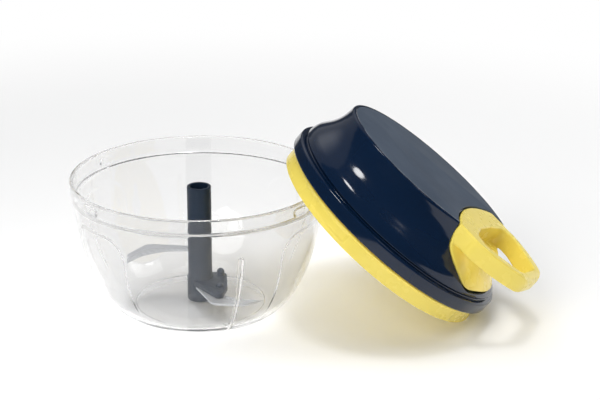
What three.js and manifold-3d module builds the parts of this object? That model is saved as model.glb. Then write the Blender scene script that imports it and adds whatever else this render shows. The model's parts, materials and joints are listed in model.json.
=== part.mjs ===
// Pull-cord food chopper: a clear bowl with its lift-out blade unit, and the drive lid leaning on the rim.
// Millimetres, +Z up. The bowl stands on z = 0 round the origin, and the lid leans against it at +X.
import * as THREE from 'three';
import { mergeVertices } from 'three/addons/utils/BufferGeometryUtils.js';
import Module from 'manifold-3d';

const wasm = await Module();
wasm.setup();

// Facets and unit conversion
const roundSegments = 48;
const smallSegments = 16;
const tinySegments = 12;
const curveSteps = 8;
const leanSteps = 14;
const simplifyTolerance = 0.02;
const degree = Math.PI / 180;

// Clearances and overruns
const seatGap = 0.3;
const leanGap = 0.9;
const runningGap = 0.4;
const cutOverrun = 4;

// Bowl
const bowlHeight = 75.5;
const rimRadius = 70;
const bowlWall = 2.4;
const bowlFloor = 3;
const bandHeight = 9.2;
const bandDraft = 0.7;
const ledgeRise = 0.8;
const bandStep = 1.4;
const lipRadius = 0.9;
const baseRadius = 47;
const baseTurn = 2;
const sideFullness = 35;
const sideLean = 1.2;

// Relief on the bowl's inner wall: raised panels and two thin vertical ribs
const panelRelief = 1.3;
const panelTop = 57.5;
const panelTopHalfWidth = 22;
const panelFootHalfWidth = 15;
const panelCorner = 13;
const panelAzimuths = [-141, -25, 39, 155];
const ribRelief = 2.6;
const ribTop = 51.5;
const ribHalfWidth = 1.3;
const ribAzimuths = [-65, 115];

// Bayonet lugs inside the rim band, and the channels that take them in the lid's ring
const lugWidth = 11;
const lugHeight = 4.2;
const lugReach = 1.5;
const lugAzimuths = [-144, -39, 36, 141];

// Steel spindle in the bowl floor, and the bush that turns on it
const spindleRadius = 2;
const spindleTop = 13.4;
const spindleSocketDepth = 1.8;
const bushWall = 2.2;
const bushCap = 1.8;

// Blade shaft
const shaftTop = 69.5;
const shaftRadius = 6.6;
const hubRadius = 7.2;
const hubHeight = 13.5;
const hubTaper = 2;
const shaftBoreRadius = 5;
const shaftBoreDepth = 24;
const boreChamfer = 0.6;
const splineRadius = 0.8;
const splineCount = 6;
const splineStart = 3;

// Blades and the lower blade's holder
const bladeReach = 42.8;
const bladeThickness = 1.3;
const bladeEdge = 0.35;
const upperBladeHeight = 31;
const upperBladeAzimuth = 180;
const lowerBladeHeight = 11.9;
const lowerBladeAzimuth = -60;
const bladeRidge = 0.55;
const bladeBackShares = [[0.08, -0.12], [0.3, -0.136], [0.5, -0.15], [0.657, -0.157], [0.748, -0.086], [0.914, 0.2]];
const bladeEdgeShares = [[0.08, 0.03], [0.28, 0.038], [0.467, 0.07], [0.671, 0.185], [0.79, 0.315], [0.886, 0.463]];
const holderThickness = 3;
const holderReach = 27.5;
const holderShares = [[-0.12, -0.24], [0.484, -0.982], [0.578, -0.465], [0.52, 0.17], [0.15, 0.24]];
const tangShare = 0.86;
const holderCorner = 2.4;
const rivetRadius = 1.1;
const rivetHeadRadius = 2.1;
const rivetHeadHeight = 1.1;
const knobHeight = 3.6;
const rivetShares = [[0.407, 0.084], [0.43, -0.48]];

// Lid: the yellow base ring with its plate
const ringRadius = 66.1;
const ringHeight = 9.5;
const ringWall = 1.8;
const ringBead = 1.3;
const ringBeadStep = 0.35;
const ringEdge = 0.4;
const ringLeadHeight = 2.4;
const ringLeadWidth = 0.9;
const plateThickness = 2;
const channelDepth = 0.9;
const channelRun = 24;
const bearingBossWall = 2.4;
const bearingBossDrop = 4.2;
const bearingFlange = 0.8;

// Lid: the housing
const bandRadius = 67.8;
const housingBandTop = 17.3;
const housingEdge = 0.7;
const grooveDepth = 1.5;
const grooveHeight = 1.3;
const domeStep = 1.2;
const lidHeight = 46.2;
const topLength = 56.3;
const topWidth = 48.5;
const topOffset = -1;
const housingWall = 2.4;
const domeShares = [[0, 0, 0], [0.09, 0.05, 0.17], [0.2, 0.13, 0.42], [0.31, 0.3, 0.63], [0.42, 0.54, 0.77],
  [0.53, 0.76, 0.87], [0.66, 0.91, 0.94], [0.82, 0.975, 0.985], [0.97, 1, 1]];
const downhillShare = 0.45;
const downhillSpread = 0.4;
const topEdge = 0.5;
const padThickness = 1.8;
const padMargin = 1.5;

// Lid: the pull handle, a plug let into the housing with a finger loop
const handleAzimuth = -27;
const plugHalfWidth = 34.8;
const plugFoot = 21.8;
const plugCorner = 12;
const plugBack = 27;
const plugBackRadius = 85;
const pocketGap = 0.5;
const pocketWall = 2;
const loopOverhang = 11.2;
const loopThickness = 10;
const loopHalfWidth = 35.4;
const loopShoulder = 47;
const loopEndHalfWidth = 19;
const loopShares = [[0.44, 0.438], [0.56, 0.441], [0.62, 0.448], [0.709, 0.42], [0.772, 0.389], [0.835, 0.346],
  [0.924, 0.262], [0.975, 0.187], [0.997, 0.101], [1, 0]];
const fingerHoleStart = 42;
const fingerBar = 6.2;
const fingerCorner = 9;

// Lid: cord, spool and recoil spring
const cordRadius = 1.1;
const cordPitch = 2.65;
const cordTurns = 3.2;
const drumRadius = 14;
const spoolFoot = 21;
const flangeThickness = 1.6;
const flangeRadius = 20.5;
const springWidth = 5.6;
const springThickness = 0.5;
const springTurns = 5;
const arborRadius = 5;
const cupWall = 1.4;
const postRadius = 2;
const eyeletWall = 1.7;
const knotRadius = 2.6;
const knotLength = 5;

// Lid: one-way drive, with two pawls inside a ratchet cup
const cupFloor = 13.5;
const cupBase = 2;
const ratchetRadius = 21;
const toothRoot = 18.6;
const toothTip = 16.4;
const toothCount = 12;
const pawlPivotRadius = 13;
const pawlPivotAngle = 50;
const pawlHub = 2.7;
const pawlHubFrom = 80;
const pawlHubTo = 280;
const pawlPinRadius = 1.2;
const pawlTipAngle = 8;
const pawlBite = 1.2;
const pawlNose = 1.5;
const journalRadius = 7;
const driverRadius = 4.6;
const driverTip = -6;
const driverStart = 6.2;

// Screws through the base plate
const screwCircle = 52;
const screwAzimuths = [63, 153, 243];
const screwRadius = 1.4;
const screwHeadRadius = 3;
const screwHeadHeight = 1.7;
const screwLength = 12;
const screwBossRadius = 3.8;

// Places worked out from the sizes above
const bandFoot = bowlHeight - bandHeight;
const bodyRadius = rimRadius - bandDraft - bandStep;
const bandInner = rimRadius - bowlWall;
const leanAngle = 39.8;
const loopReach = bandRadius + loopOverhang;
const plateUnder = ringHeight + runningGap;
const plateTop = plateUnder + plateThickness;
const domeFoot = housingBandTop + grooveHeight;
const domeRadius = bandRadius - domeStep;
const padSeat = lidHeight - padThickness;
const cavityTop = padSeat - housingWall;
const drumFoot = spoolFoot + flangeThickness;
const cordFoot = drumFoot + cordRadius + runningGap;
const cordTop = cordFoot + cordPitch * cordTurns;
const drumTop = cordTop + cordRadius + runningGap;
const springFoot = drumTop + flangeThickness + seatGap;
const springTop = springFoot + springWidth;
const windRadius = drumRadius + seatGap + cordRadius;
const eyeletInner = plugBack - pocketGap - pocketWall;

// Finishes
const finishes = {
  clear: { color: 0xeef3f4, roughness: 0.06, metalness: 0, transparent: true, opacity: 0.3 },
  navyGloss: { color: 0x0d2036, roughness: 0.12, metalness: 0 },
  navyMatte: { color: 0x3c4654, roughness: 0.7, metalness: 0 },
  shaftNavy: { color: 0x1f2d3f, roughness: 0.4, metalness: 0 },
  yellow: { color: 0xf0d964, roughness: 0.35, metalness: 0 },
  steel: { color: 0xb9bec4, roughness: 0.25, metalness: 1 },
  springSteel: { color: 0x8b9096, roughness: 0.35, metalness: 1 },
  nylon: { color: 0xe9e7df, roughness: 0.5, metalness: 0 },
  acetal: { color: 0xd8dadc, roughness: 0.45, metalness: 0 },
  cord: { color: 0xf2f0e8, roughness: 0.8, metalness: 0 },
};

// Solids: geometry helpers

function weld(geometry) {
  geometry.deleteAttribute('normal');
  geometry.deleteAttribute('uv');
  const merged = mergeVertices(geometry, 1e-4);
  const index = merged.getIndex().array;
  const place = merged.getAttribute('position');
  const kept = [];
  let volume = 0;
  const a = new THREE.Vector3();
  const b = new THREE.Vector3();
  const c = new THREE.Vector3();
  for (let i = 0; i < index.length; i += 3) {
    const [p, q, r] = [index[i], index[i + 1], index[i + 2]];
    if (p === q || q === r || r === p) continue;
    kept.push(p, q, r);
    a.fromBufferAttribute(place, p);
    b.fromBufferAttribute(place, q);
    c.fromBufferAttribute(place, r);
    volume += a.dot(b.cross(c));
  }
  if (volume < 0) {
    for (let i = 0; i < kept.length; i += 3) {
      [kept[i], kept[i + 1]] = [kept[i + 1], kept[i]];
    }
  }
  merged.setIndex(kept);
  return merged;
}

function solid(geometry) {
  const welded = weld(geometry);
  return new wasm.Manifold(new wasm.Mesh({
    numProp: 3,
    vertProperties: new Float32Array(welded.getAttribute('position').array),
    triVerts: new Uint32Array(welded.getIndex().array),
  }));
}

function geometryOf(body) {
  const mesh = body.simplify(simplifyTolerance).getMesh();
  const geometry = new THREE.BufferGeometry();
  geometry.setAttribute('position', new THREE.BufferAttribute(new Float32Array(mesh.vertProperties), 3));
  geometry.setIndex(new THREE.BufferAttribute(new Uint32Array(mesh.triVerts), 1));
  return geometry;
}

function join(first, ...others) {
  return others.reduce((body, other) => body.add(other), first);
}

function cut(first, ...tools) {
  return tools.reduce((body, tool) => body.subtract(tool), first);
}

// A profile of [radius, height] points, spun about the Z axis
function spun(profile, segments = roundSegments) {
  const points = profile.map(([radius, height]) => new THREE.Vector2(radius, height));
  const first = points[0];
  const last = points[points.length - 1];
  if (first.x !== 0 || last.x !== 0) points.push(first.clone());
  const geometry = new THREE.LatheGeometry(points, segments);
  geometry.rotateX(Math.PI / 2);
  return geometry;
}

function rod(radius, low, high, segments = smallSegments) {
  return spun([[0, low], [radius, low], [radius, high], [0, high]], segments);
}

function tube(inner, outer, low, high, segments = smallSegments) {
  return spun([[inner, low], [outer, low], [outer, high], [inner, high]], segments);
}

function arc(centreX, centreY, radius, from, to, steps) {
  const points = [];
  for (let i = 0; i <= steps; i += 1) {
    const angle = (from + (to - from) * i / steps) * degree;
    points.push([centreX + radius * Math.cos(angle), centreY + radius * Math.sin(angle)]);
  }
  return points;
}

function polar(radius, angle) {
  return [radius * Math.cos(angle * degree), radius * Math.sin(angle * degree)];
}

function shapeOf(points) {
  return new THREE.Shape(points.map(([x, y]) => new THREE.Vector2(x, y)));
}

// An outline whose corners are rounded, each with its own radius
function rounded(corners, radii, steps = 5) {
  const outline = [];
  corners.forEach(([x, y], i) => {
    const radius = Array.isArray(radii) ? radii[i] : radii;
    const here = new THREE.Vector2(x, y);
    const before = new THREE.Vector2(...corners[(i + corners.length - 1) % corners.length]);
    const after = new THREE.Vector2(...corners[(i + 1) % corners.length]);
    const toBefore = before.clone().sub(here).normalize();
    const toAfter = after.clone().sub(here).normalize();
    if (!radius) {
      outline.push([x, y]);
      return;
    }
    const half = Math.acos(toBefore.dot(toAfter)) / 2;
    const room = Math.min(before.distanceTo(here), after.distanceTo(here)) / 2;
    const reach = Math.min(radius / Math.tan(half), room);
    const start = here.clone().addScaledVector(toBefore, reach);
    const end = here.clone().addScaledVector(toAfter, reach);
    const middle = toBefore.clone().add(toAfter).normalize();
    const trueRadius = reach * Math.tan(half);
    const centre = here.clone().addScaledVector(middle, trueRadius / Math.sin(half));
    const from = start.clone().sub(centre).angle();
    let sweep = end.clone().sub(centre).angle() - from;
    if (sweep > Math.PI) sweep -= 2 * Math.PI;
    if (sweep < -Math.PI) sweep += 2 * Math.PI;
    for (let k = 0; k <= steps; k += 1) {
      const angle = from + sweep * k / steps;
      outline.push([centre.x + trueRadius * Math.cos(angle), centre.y + trueRadius * Math.sin(angle)]);
    }
  });
  return shapeOf(outline);
}

function prism(shape, low, high, curveSegments = 6) {
  const geometry = new THREE.ExtrudeGeometry(shape, { depth: high - low, bevelEnabled: false, curveSegments });
  geometry.translate(0, 0, low);
  return geometry;
}

// Turns a prism drawn in a tangent plane, so that it runs outward along a radius
function radially(geometry, azimuth) {
  const angle = azimuth * degree;
  const out = new THREE.Vector3(Math.cos(angle), Math.sin(angle), 0);
  const along = new THREE.Vector3(-Math.sin(angle), Math.cos(angle), 0);
  geometry.applyMatrix4(new THREE.Matrix4().makeBasis(along, new THREE.Vector3(0, 0, 1), out));
  return geometry;
}

// A skin through rings of equal count, closed at both ends
function loft(rings) {
  const count = rings[0].length;
  const positions = [];
  const index = [];
  rings.forEach((ring) => ring.forEach((p) => positions.push(p.x, p.y, p.z)));
  for (let r = 0; r < rings.length - 1; r += 1) {
    for (let i = 0; i < count; i += 1) {
      const j = (i + 1) % count;
      const [a, b, c, d] = [r * count + i, r * count + j, (r + 1) * count + j, (r + 1) * count + i];
      index.push(a, b, c, a, c, d);
    }
  }
  [[0, true], [rings.length - 1, false]].forEach(([r, flip]) => {
    const middle = rings[r].reduce((sum, p) => sum.add(p), new THREE.Vector3()).divideScalar(count);
    const centre = positions.length / 3;
    positions.push(middle.x, middle.y, middle.z);
    for (let i = 0; i < count; i += 1) {
      const [a, b] = [r * count + i, r * count + (i + 1) % count];
      index.push(...(flip ? [centre, b, a] : [centre, a, b]));
    }
  });
  const geometry = new THREE.BufferGeometry();
  geometry.setAttribute('position', new THREE.Float32BufferAttribute(positions, 3));
  geometry.setIndex(index);
  return geometry;
}

// A piece: one named mesh with a finish of its own
function piece(name, shape, finish) {
  const geometry = shape instanceof THREE.BufferGeometry ? weld(shape) : geometryOf(shape);
  geometry.computeVertexNormals();
  const mesh = new THREE.Mesh(geometry, new THREE.MeshStandardMaterial(finishes[finish]));
  mesh.name = name;
  return mesh;
}

// Bowl

function sideCurve() {
  return new THREE.CubicBezierCurve(
    new THREE.Vector2(baseRadius, 0),
    new THREE.Vector2(baseRadius + baseTurn, 0),
    new THREE.Vector2(bodyRadius - sideLean, bandFoot - sideFullness),
    new THREE.Vector2(bodyRadius, bandFoot),
  );
}

function bowlOutside() {
  const side = sideCurve().getPoints(curveSteps).map((p) => [p.x, p.y]);
  return [
    [0, 0],
    ...side,
    [rimRadius - bandDraft, bandFoot],
    ...arc(rimRadius - lipRadius, bowlHeight - lipRadius, lipRadius, 0, 90, 3),
    [0, bowlHeight],
  ];
}

// The bowl's hollow, drawn in from the wall by a relief
function bowlHollow(relief) {
  const curve = sideCurve();
  const inset = bowlWall + relief;
  const ledge = bandFoot + ledgeRise;
  const side = [];
  for (let i = 0; i <= curveSteps; i += 1) {
    const at = curve.getPoint(i / curveSteps);
    const along = curve.getTangent(i / curveSteps);
    const point = [at.x - inset * along.y, at.y + inset * along.x];
    if (point[1] > bowlFloor + bowlWall / 2 && point[1] < bandFoot - lipRadius) side.push(point);
  }
  const [footRadius, footHeight] = side[0];
  return [
    [0, bowlFloor],
    [footRadius - (footHeight - bowlFloor), bowlFloor],
    ...side,
    [bodyRadius - inset, ledge],
    [bandInner - bandDraft, ledge],
    ...arc(bandInner + lipRadius, bowlHeight - lipRadius, lipRadius, 180, 90, 3),
    [bandInner + lipRadius, bowlHeight + cutOverrun],
    [0, bowlHeight + cutOverrun],
  ];
}

function panelPrism(azimuth) {
  const outline = rounded([
    [-panelFootHalfWidth, 0],
    [panelFootHalfWidth, 0],
    [panelTopHalfWidth, panelTop],
    [-panelTopHalfWidth, panelTop],
  ], [0, 0, panelCorner, panelCorner]);
  return solid(radially(prism(outline, baseRadius / 2, rimRadius), azimuth));
}

function ribPrism(azimuth) {
  const outline = rounded([
    [-ribHalfWidth / 2, 0],
    [ribHalfWidth / 2, 0],
    [ribHalfWidth, ribTop - ribHalfWidth],
    [0, ribTop],
    [-ribHalfWidth, ribTop - ribHalfWidth],
  ], 0);
  return solid(radially(prism(outline, baseRadius / 2, rimRadius), azimuth));
}

function lug(azimuth) {
  const [w, h] = [lugWidth / 2, lugHeight / 2];
  const middle = bandFoot + bandHeight / 2;
  const outline = rounded([[-w, middle - h], [w, middle - h], [w, middle + h], [-w, middle + h]], h, 3);
  return solid(radially(prism(outline, bandInner - bandDraft - lugReach, rimRadius - bowlWall / 2), azimuth));
}

function bowl() {
  const ribs = ribAzimuths.map(ribPrism);
  const panels = panelAzimuths.map(panelPrism);
  const body = cut(
    solid(spun(bowlOutside())),
    solid(spun(bowlHollow(ribRelief))),
    cut(solid(spun(bowlHollow(panelRelief))), ...ribs),
    cut(solid(spun(bowlHollow(0))), ...ribs, ...panels),
    solid(rod(spindleRadius + seatGap, bowlFloor - spindleSocketDepth, bowlFloor + cutOverrun)),
  );
  return piece('bowl', join(body, ...lugAzimuths.map(lug)), 'clear');
}

function spindle() {
  const foot = bowlFloor - spindleSocketDepth + seatGap;
  const tip = spindleRadius / 2;
  return piece('spindle_pin', spun([
    [0, foot],
    [spindleRadius, foot],
    [spindleRadius, spindleTop - tip],
    [spindleRadius - tip, spindleTop],
    [0, spindleTop],
  ], smallSegments), 'steel');
}

// Blade unit

const unitFoot = bowlFloor + seatGap;
const bushInner = spindleRadius + seatGap;
const bushRadius = bushInner + bushWall;
const bushTop = spindleTop + seatGap + bushCap;

function footBush() {
  return piece('foot_bush', spun([
    [bushInner, unitFoot],
    [bushRadius, unitFoot],
    [bushRadius, bushTop],
    [0, bushTop],
    [0, spindleTop + seatGap],
    [bushInner, spindleTop + seatGap],
  ], smallSegments), 'acetal');
}

function bladeBody(height, azimuth) {
  const scale = ([x, y]) => new THREE.Vector2(x * bladeReach, y * bladeReach);
  const back = new THREE.SplineCurve(bladeBackShares.map(scale));
  const edge = new THREE.SplineCurve(bladeEdgeShares.map(scale));
  const steps = 16;
  const rings = [];
  for (let i = 0; i <= steps; i += 1) {
    const b = back.getPoint(i / steps);
    const e = edge.getPoint(i / steps);
    const m = b.clone().lerp(e, bladeRidge);
    const top = height + bladeThickness;
    const thin = (bladeThickness - bladeEdge) / 2;
    rings.push([
      new THREE.Vector3(b.x, b.y, height),
      new THREE.Vector3(m.x, m.y, height),
      new THREE.Vector3(e.x, e.y, height + thin),
      new THREE.Vector3(e.x, e.y, top - thin),
      new THREE.Vector3(m.x, m.y, top),
      new THREE.Vector3(b.x, b.y, top),
    ]);
  }
  const geometry = loft(rings);
  geometry.rotateZ(azimuth * degree);
  return solid(geometry);
}

// The slot that a blade's root sits in
function rootSlot(height, azimuth) {
  const start = bladeBackShares[0][0] * bladeReach - seatGap;
  const backSide = bladeBackShares[2][1] * bladeReach;
  const edgeSide = bladeEdgeShares[1][1] * bladeReach + seatGap;
  const geometry = prism(shapeOf([
    [start, backSide],
    [hubRadius + cutOverrun, backSide],
    [hubRadius + cutOverrun, edgeSide],
    [start, edgeSide],
  ]), height - seatGap, height + bladeThickness + seatGap);
  geometry.rotateZ(azimuth * degree);
  return solid(geometry);
}

const holderFoot = lowerBladeHeight + bladeThickness + seatGap;

function rivetPlaces() {
  return rivetShares.map(([x, y]) => [x * holderReach, y * holderReach]);
}

function holderPlate(share, low, high) {
  const corners = holderShares.map(([x, y]) => [x * holderReach * share, y * holderReach * share]);
  return solid(prism(rounded(corners, holderCorner, 4), low, high));
}

function rivetHole([x, y]) {
  const geometry = rod(rivetRadius + seatGap, lowerBladeHeight - cutOverrun, holderFoot + cutOverrun, tinySegments);
  geometry.translate(x, y, 0);
  return solid(geometry);
}

function bladeShaft() {
  const hubTop = unitFoot + hubHeight;
  const foot = bladeThickness / 2;
  const boreFoot = shaftTop - shaftBoreDepth;
  const body = solid(spun([
    [0, unitFoot],
    [hubRadius - foot, unitFoot],
    [hubRadius, unitFoot + foot],
    [hubRadius, hubTop],
    [shaftRadius, hubTop + hubTaper],
    [shaftRadius, shaftTop - boreChamfer / 2],
    [shaftRadius - boreChamfer / 2, shaftTop],
    [0, shaftTop],
  ], smallSegments * 2));
  const bore = solid(spun([
    [0, boreFoot],
    [shaftBoreRadius, boreFoot],
    [shaftBoreRadius, shaftTop - boreChamfer],
    [shaftBoreRadius + boreChamfer, shaftTop + cutOverrun * boreChamfer],
    [0, shaftTop + cutOverrun * boreChamfer],
  ], smallSegments));
  const splines = [];
  for (let i = 0; i < splineCount; i += 1) {
    const geometry = rod(splineRadius, boreFoot - splineRadius, shaftTop - splineStart, 8);
    geometry.translate(shaftBoreRadius, 0, 0);
    geometry.rotateZ(i * 2 * Math.PI / splineCount);
    splines.push(solid(geometry));
  }
  const footBore = solid(rod(bushRadius + seatGap, unitFoot - cutOverrun, bushTop + seatGap));
  const shaft = cut(
    join(cut(body, bore), holderPlate(1, holderFoot, holderFoot + holderThickness), ...splines),
    footBore,
    rootSlot(upperBladeHeight, upperBladeAzimuth),
    ...rivetPlaces().map(rivetHole),
  );
  return piece('blade_shaft', shaft, 'shaftNavy');
}

function upperBlade() {
  return piece('upper_blade', bladeBody(upperBladeHeight, upperBladeAzimuth), 'steel');
}

// The lower blade runs into a flat tang under the holder, which both rivets go through
function lowerBlade() {
  const clear = solid(rod(hubRadius + seatGap, unitFoot, holderFoot));
  const tang = holderPlate(tangShare, lowerBladeHeight, lowerBladeHeight + bladeThickness);
  const blade = join(bladeBody(lowerBladeHeight, lowerBladeAzimuth), tang);
  return piece('lower_blade', cut(blade, clear, ...rivetPlaces().map(rivetHole)), 'steel');
}

function rivets() {
  return rivetPlaces().map(([x, y], i) => {
    const headFoot = holderFoot + holderThickness + seatGap;
    const headTop = headFoot + (i === 0 ? knobHeight : rivetHeadHeight);
    const tail = lowerBladeHeight - seatGap;
    const geometry = spun([
      [0, tail - rivetHeadHeight],
      [rivetHeadRadius, tail - rivetHeadHeight],
      [rivetHeadRadius, tail],
      [rivetRadius, tail],
      [rivetRadius, headFoot],
      [rivetHeadRadius, headFoot],
      [rivetHeadRadius, headTop - rivetHeadHeight / 2],
      [rivetRadius, headTop],
      [0, headTop],
    ], tinySegments);
    geometry.translate(x, y, 0);
    return piece(`blade_rivet_${i + 1}`, geometry, 'shaftNavy');
  });
}

// Lid, drawn with its ring's lower edge on z = 0 and its axis along Z

// Radius of the housing's top outline, an ellipse set off the lid's axis
function topRadius(angle) {
  const [co, si] = [Math.cos(angle), Math.sin(angle)];
  const a = (co / topLength) ** 2 + (si / topWidth) ** 2;
  const b = -2 * topOffset * co / topLength ** 2;
  const c = (topOffset / topLength) ** 2 - 1;
  return (-b + Math.sqrt(b * b - 4 * a * c)) / (2 * a);
}

function ringAt(height, radiusOf) {
  const ring = [];
  for (let i = 0; i < roundSegments; i += 1) {
    const angle = i * 2 * Math.PI / roundSegments;
    const radius = radiusOf(angle);
    ring.push(new THREE.Vector3(radius * Math.cos(angle), radius * Math.sin(angle), height));
  }
  return ring;
}

// Rings up the dome, which blends from a circle into the top outline; inset shrinks them all
// How far a direction counts as downhill, where the dome runs in more straightly: 0 not at all, 1 fully
function downhill(angle) {
  const share = Math.min(Math.max((Math.cos(angle) - downhillShare) / downhillSpread, 0), 1);
  return share * share * (3 - 2 * share);
}

function domeRings(inset, top) {
  const rise = lidHeight - domeFoot;
  const rings = [];
  domeShares.forEach(([share, uphillBlend, downhillBlend]) => {
    const height = domeFoot + share * rise;
    const radius = (angle) => {
      const blend = uphillBlend + (downhillBlend - uphillBlend) * downhill(angle);
      return domeRadius - (domeRadius - topRadius(angle)) * blend - inset;
    };
    if (height < top) {
      rings.push(ringAt(height, radius));
    }
  });
  rings.push(ringAt(top, (angle) => topRadius(angle) - inset));
  return rings;
}

function domeSolid(inset = 0, top = lidHeight) {
  return solid(loft(domeRings(inset, top)));
}

// The band, its groove and the dome above them, without hollows
function housingOutside() {
  const foot = ringHeight + seatGap;
  const round = (radius) => () => radius;
  const edge = domeRings(0, lidHeight);
  edge.splice(edge.length - 1, 1, ringAt(lidHeight - topEdge, topRadius),
    ringAt(lidHeight, (angle) => topRadius(angle) - topEdge));
  return solid(loft([
    ringAt(foot, round(bandRadius - housingEdge)),
    ringAt(foot + housingEdge, round(bandRadius)),
    ringAt(housingBandTop - housingEdge, round(bandRadius)),
    ringAt(housingBandTop, round(bandRadius - housingEdge)),
    ringAt(housingBandTop + grooveHeight / 4, round(bandRadius - grooveDepth - housingEdge)),
    ringAt(domeFoot - grooveHeight / 4, round(bandRadius - grooveDepth - housingEdge)),
    ...edge,
  ]));
}

// The handle's plug in its own direction, grown all round by a clearance
function plugBlock(grow) {
  const half = plugHalfWidth + grow;
  const foot = plugFoot - grow;
  const far = loopReach + cutOverrun;
  const front = rounded([
    [-half, foot],
    [half, foot],
    [half, lidHeight + cutOverrun],
    [-half, lidHeight + cutOverrun],
  ], [plugCorner, plugCorner, 0, 0]);
  const profile = prism(front, 0, far);
  const radius = plugBackRadius + grow;
  const reach = Math.asin((half + cutOverrun) / radius) / degree;
  const back = arc(plugBack + plugBackRadius, 0, radius, 180 + reach, 180 - reach, 10);
  const plan = prism(shapeOf([...back, [far, half + cutOverrun], [far, -half - cutOverrun]]),
    0, lidHeight + 2 * cutOverrun);
  return solid(radially(profile, 0)).intersect(solid(plan)).rotate([0, 0, handleAzimuth]);
}

function screwBosses() {
  return screwAzimuths.map((azimuth) => {
    const geometry = rod(screwBossRadius, plateTop + seatGap, cavityTop, tinySegments);
    geometry.translate(screwCircle, 0, 0);
    geometry.rotateZ(azimuth * degree);
    return solid(geometry).intersect(domeOrBand());
  });
}

// The outside shrunk by half a wall, which keeps inner bosses from showing
function domeOrBand() {
  const inset = housingWall / 2;
  const band = solid(rod(bandRadius - grooveDepth - housingEdge - inset, ringHeight, domeFoot, roundSegments));
  return join(band, domeSolid(inset, padSeat));
}

function screwHoles(radius, low, high) {
  return screwAzimuths.map((azimuth) => {
    const geometry = rod(radius, low, high, 12);
    geometry.translate(screwCircle, 0, 0);
    geometry.rotateZ(azimuth * degree);
    return solid(geometry);
  });
}

function housingCavity() {
  const foot = ringHeight - cutOverrun;
  const inner = bandRadius - grooveDepth - housingEdge - housingWall;
  const rings = domeRings(housingWall, cavityTop);
  rings.shift();
  return solid(loft([
    ringAt(foot, () => bandRadius - housingWall),
    ringAt(plateTop + seatGap, () => bandRadius - housingWall),
    ringAt(plateTop + housingWall, () => inner),
    ringAt(domeFoot, () => inner),
    ...rings,
  ]));
}

function eyeletHole(radius) {
  const geometry = rod(radius, eyeletInner - cutOverrun, plugBack + cutOverrun, tinySegments);
  geometry.rotateY(Math.PI / 2);
  geometry.translate(0, 0, cordTop);
  geometry.rotateZ(handleAzimuth * degree);
  return solid(geometry);
}

function padOutline(margin) {
  return shapeOf(ringAt(0, (angle) => topRadius(angle) - margin).map((p) => [p.x, p.y]));
}

function housing() {
  const cavity = cut(housingCavity(), plugBlock(pocketGap + pocketWall));
  const arbor = solid(tube(postRadius + seatGap, arborRadius, springFoot, cavityTop + housingWall / 2));
  const post = solid(rod(postRadius + seatGap, springFoot - cutOverrun, padSeat - housingWall / 2));
  const body = cut(
    housingOutside(),
    cavity,
    plugBlock(pocketGap),
    solid(prism(padOutline(padMargin), padSeat, lidHeight + cutOverrun)),
  );
  return piece('housing', cut(
    join(body, arbor, ...screwBosses()),
    post,
    ...screwHoles(screwRadius + seatGap, plateTop, plateTop + screwLength),
    eyeletHole(cordRadius + eyeletWall + seatGap),
  ), 'navyGloss');
}

function topPad() {
  const slab = solid(prism(padOutline(padMargin + seatGap), padSeat + seatGap, lidHeight));
  return piece('top_pad', cut(slab, plugBlock(pocketGap + pocketWall / 2)), 'navyMatte');
}

// A channel in the ring's outer face: an entry from below and a run round to the side
function channel(azimuth) {
  const low = ringHeight / 2 - lugHeight / 2 - seatGap;
  const high = ringHeight / 2 + lugHeight / 2 + seatGap;
  const depth = solid(tube(ringRadius - channelDepth, ringRadius + cutOverrun, -cutOverrun, high,
    roundSegments));
  const half = Math.atan((lugWidth / 2 + seatGap) / ringRadius) / degree;
  const wedge = (from, to, foot) => {
    const reach = ringRadius * 2;
    const points = [[0, 0], ...arc(0, 0, reach, azimuth + from, azimuth + to, 4)];
    return solid(prism(shapeOf(points), foot, high + cutOverrun));
  };
  const entry = wedge(-half, half, -cutOverrun);
  const run = wedge(-half, half + channelRun, low);
  return depth.intersect(join(entry, run));
}

function baseRing() {
  const inner = ringRadius - ringWall;
  const plateRadius = bandRadius - housingWall - seatGap;
  const bead = ringRadius + ringBeadStep;
  const bore = journalRadius + runningGap + bearingBossWall + seatGap;
  const boss = bore + bearingBossWall;
  const body = spun([
    [bore, plateUnder - bearingBossDrop],
    [boss, plateUnder - bearingBossDrop],
    [boss, plateUnder],
    [inner, plateUnder],
    [inner, ringLeadHeight],
    [inner + ringLeadWidth, 0],
    [ringRadius - ringEdge, 0],
    [ringRadius, ringEdge],
    [ringRadius, ringHeight - ringBead],
    [bead, ringHeight - ringBead],
    [bead, ringHeight],
    [plateRadius, ringHeight],
    [plateRadius, plateTop],
    [bore, plateTop],
  ]);
  return piece('base_ring', cut(
    solid(body),
    ...lugAzimuths.map((azimuth) => channel(azimuth)),
    ...screwHoles(screwRadius + seatGap, plateUnder - cutOverrun, plateTop + cutOverrun),
  ), 'yellow');
}

function driveBearing() {
  const inner = journalRadius + runningGap;
  const outer = inner + bearingBossWall;
  const flangeFoot = plateTop + seatGap;
  return piece('drive_bearing', spun([
    [inner, plateUnder - bearingBossDrop],
    [outer, plateUnder - bearingBossDrop],
    [outer, flangeFoot],
    [outer + bearingBossWall, flangeFoot],
    [outer + bearingBossWall, flangeFoot + bearingFlange],
    [inner, flangeFoot + bearingFlange],
  ], smallSegments * 2), 'acetal');
}

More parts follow.
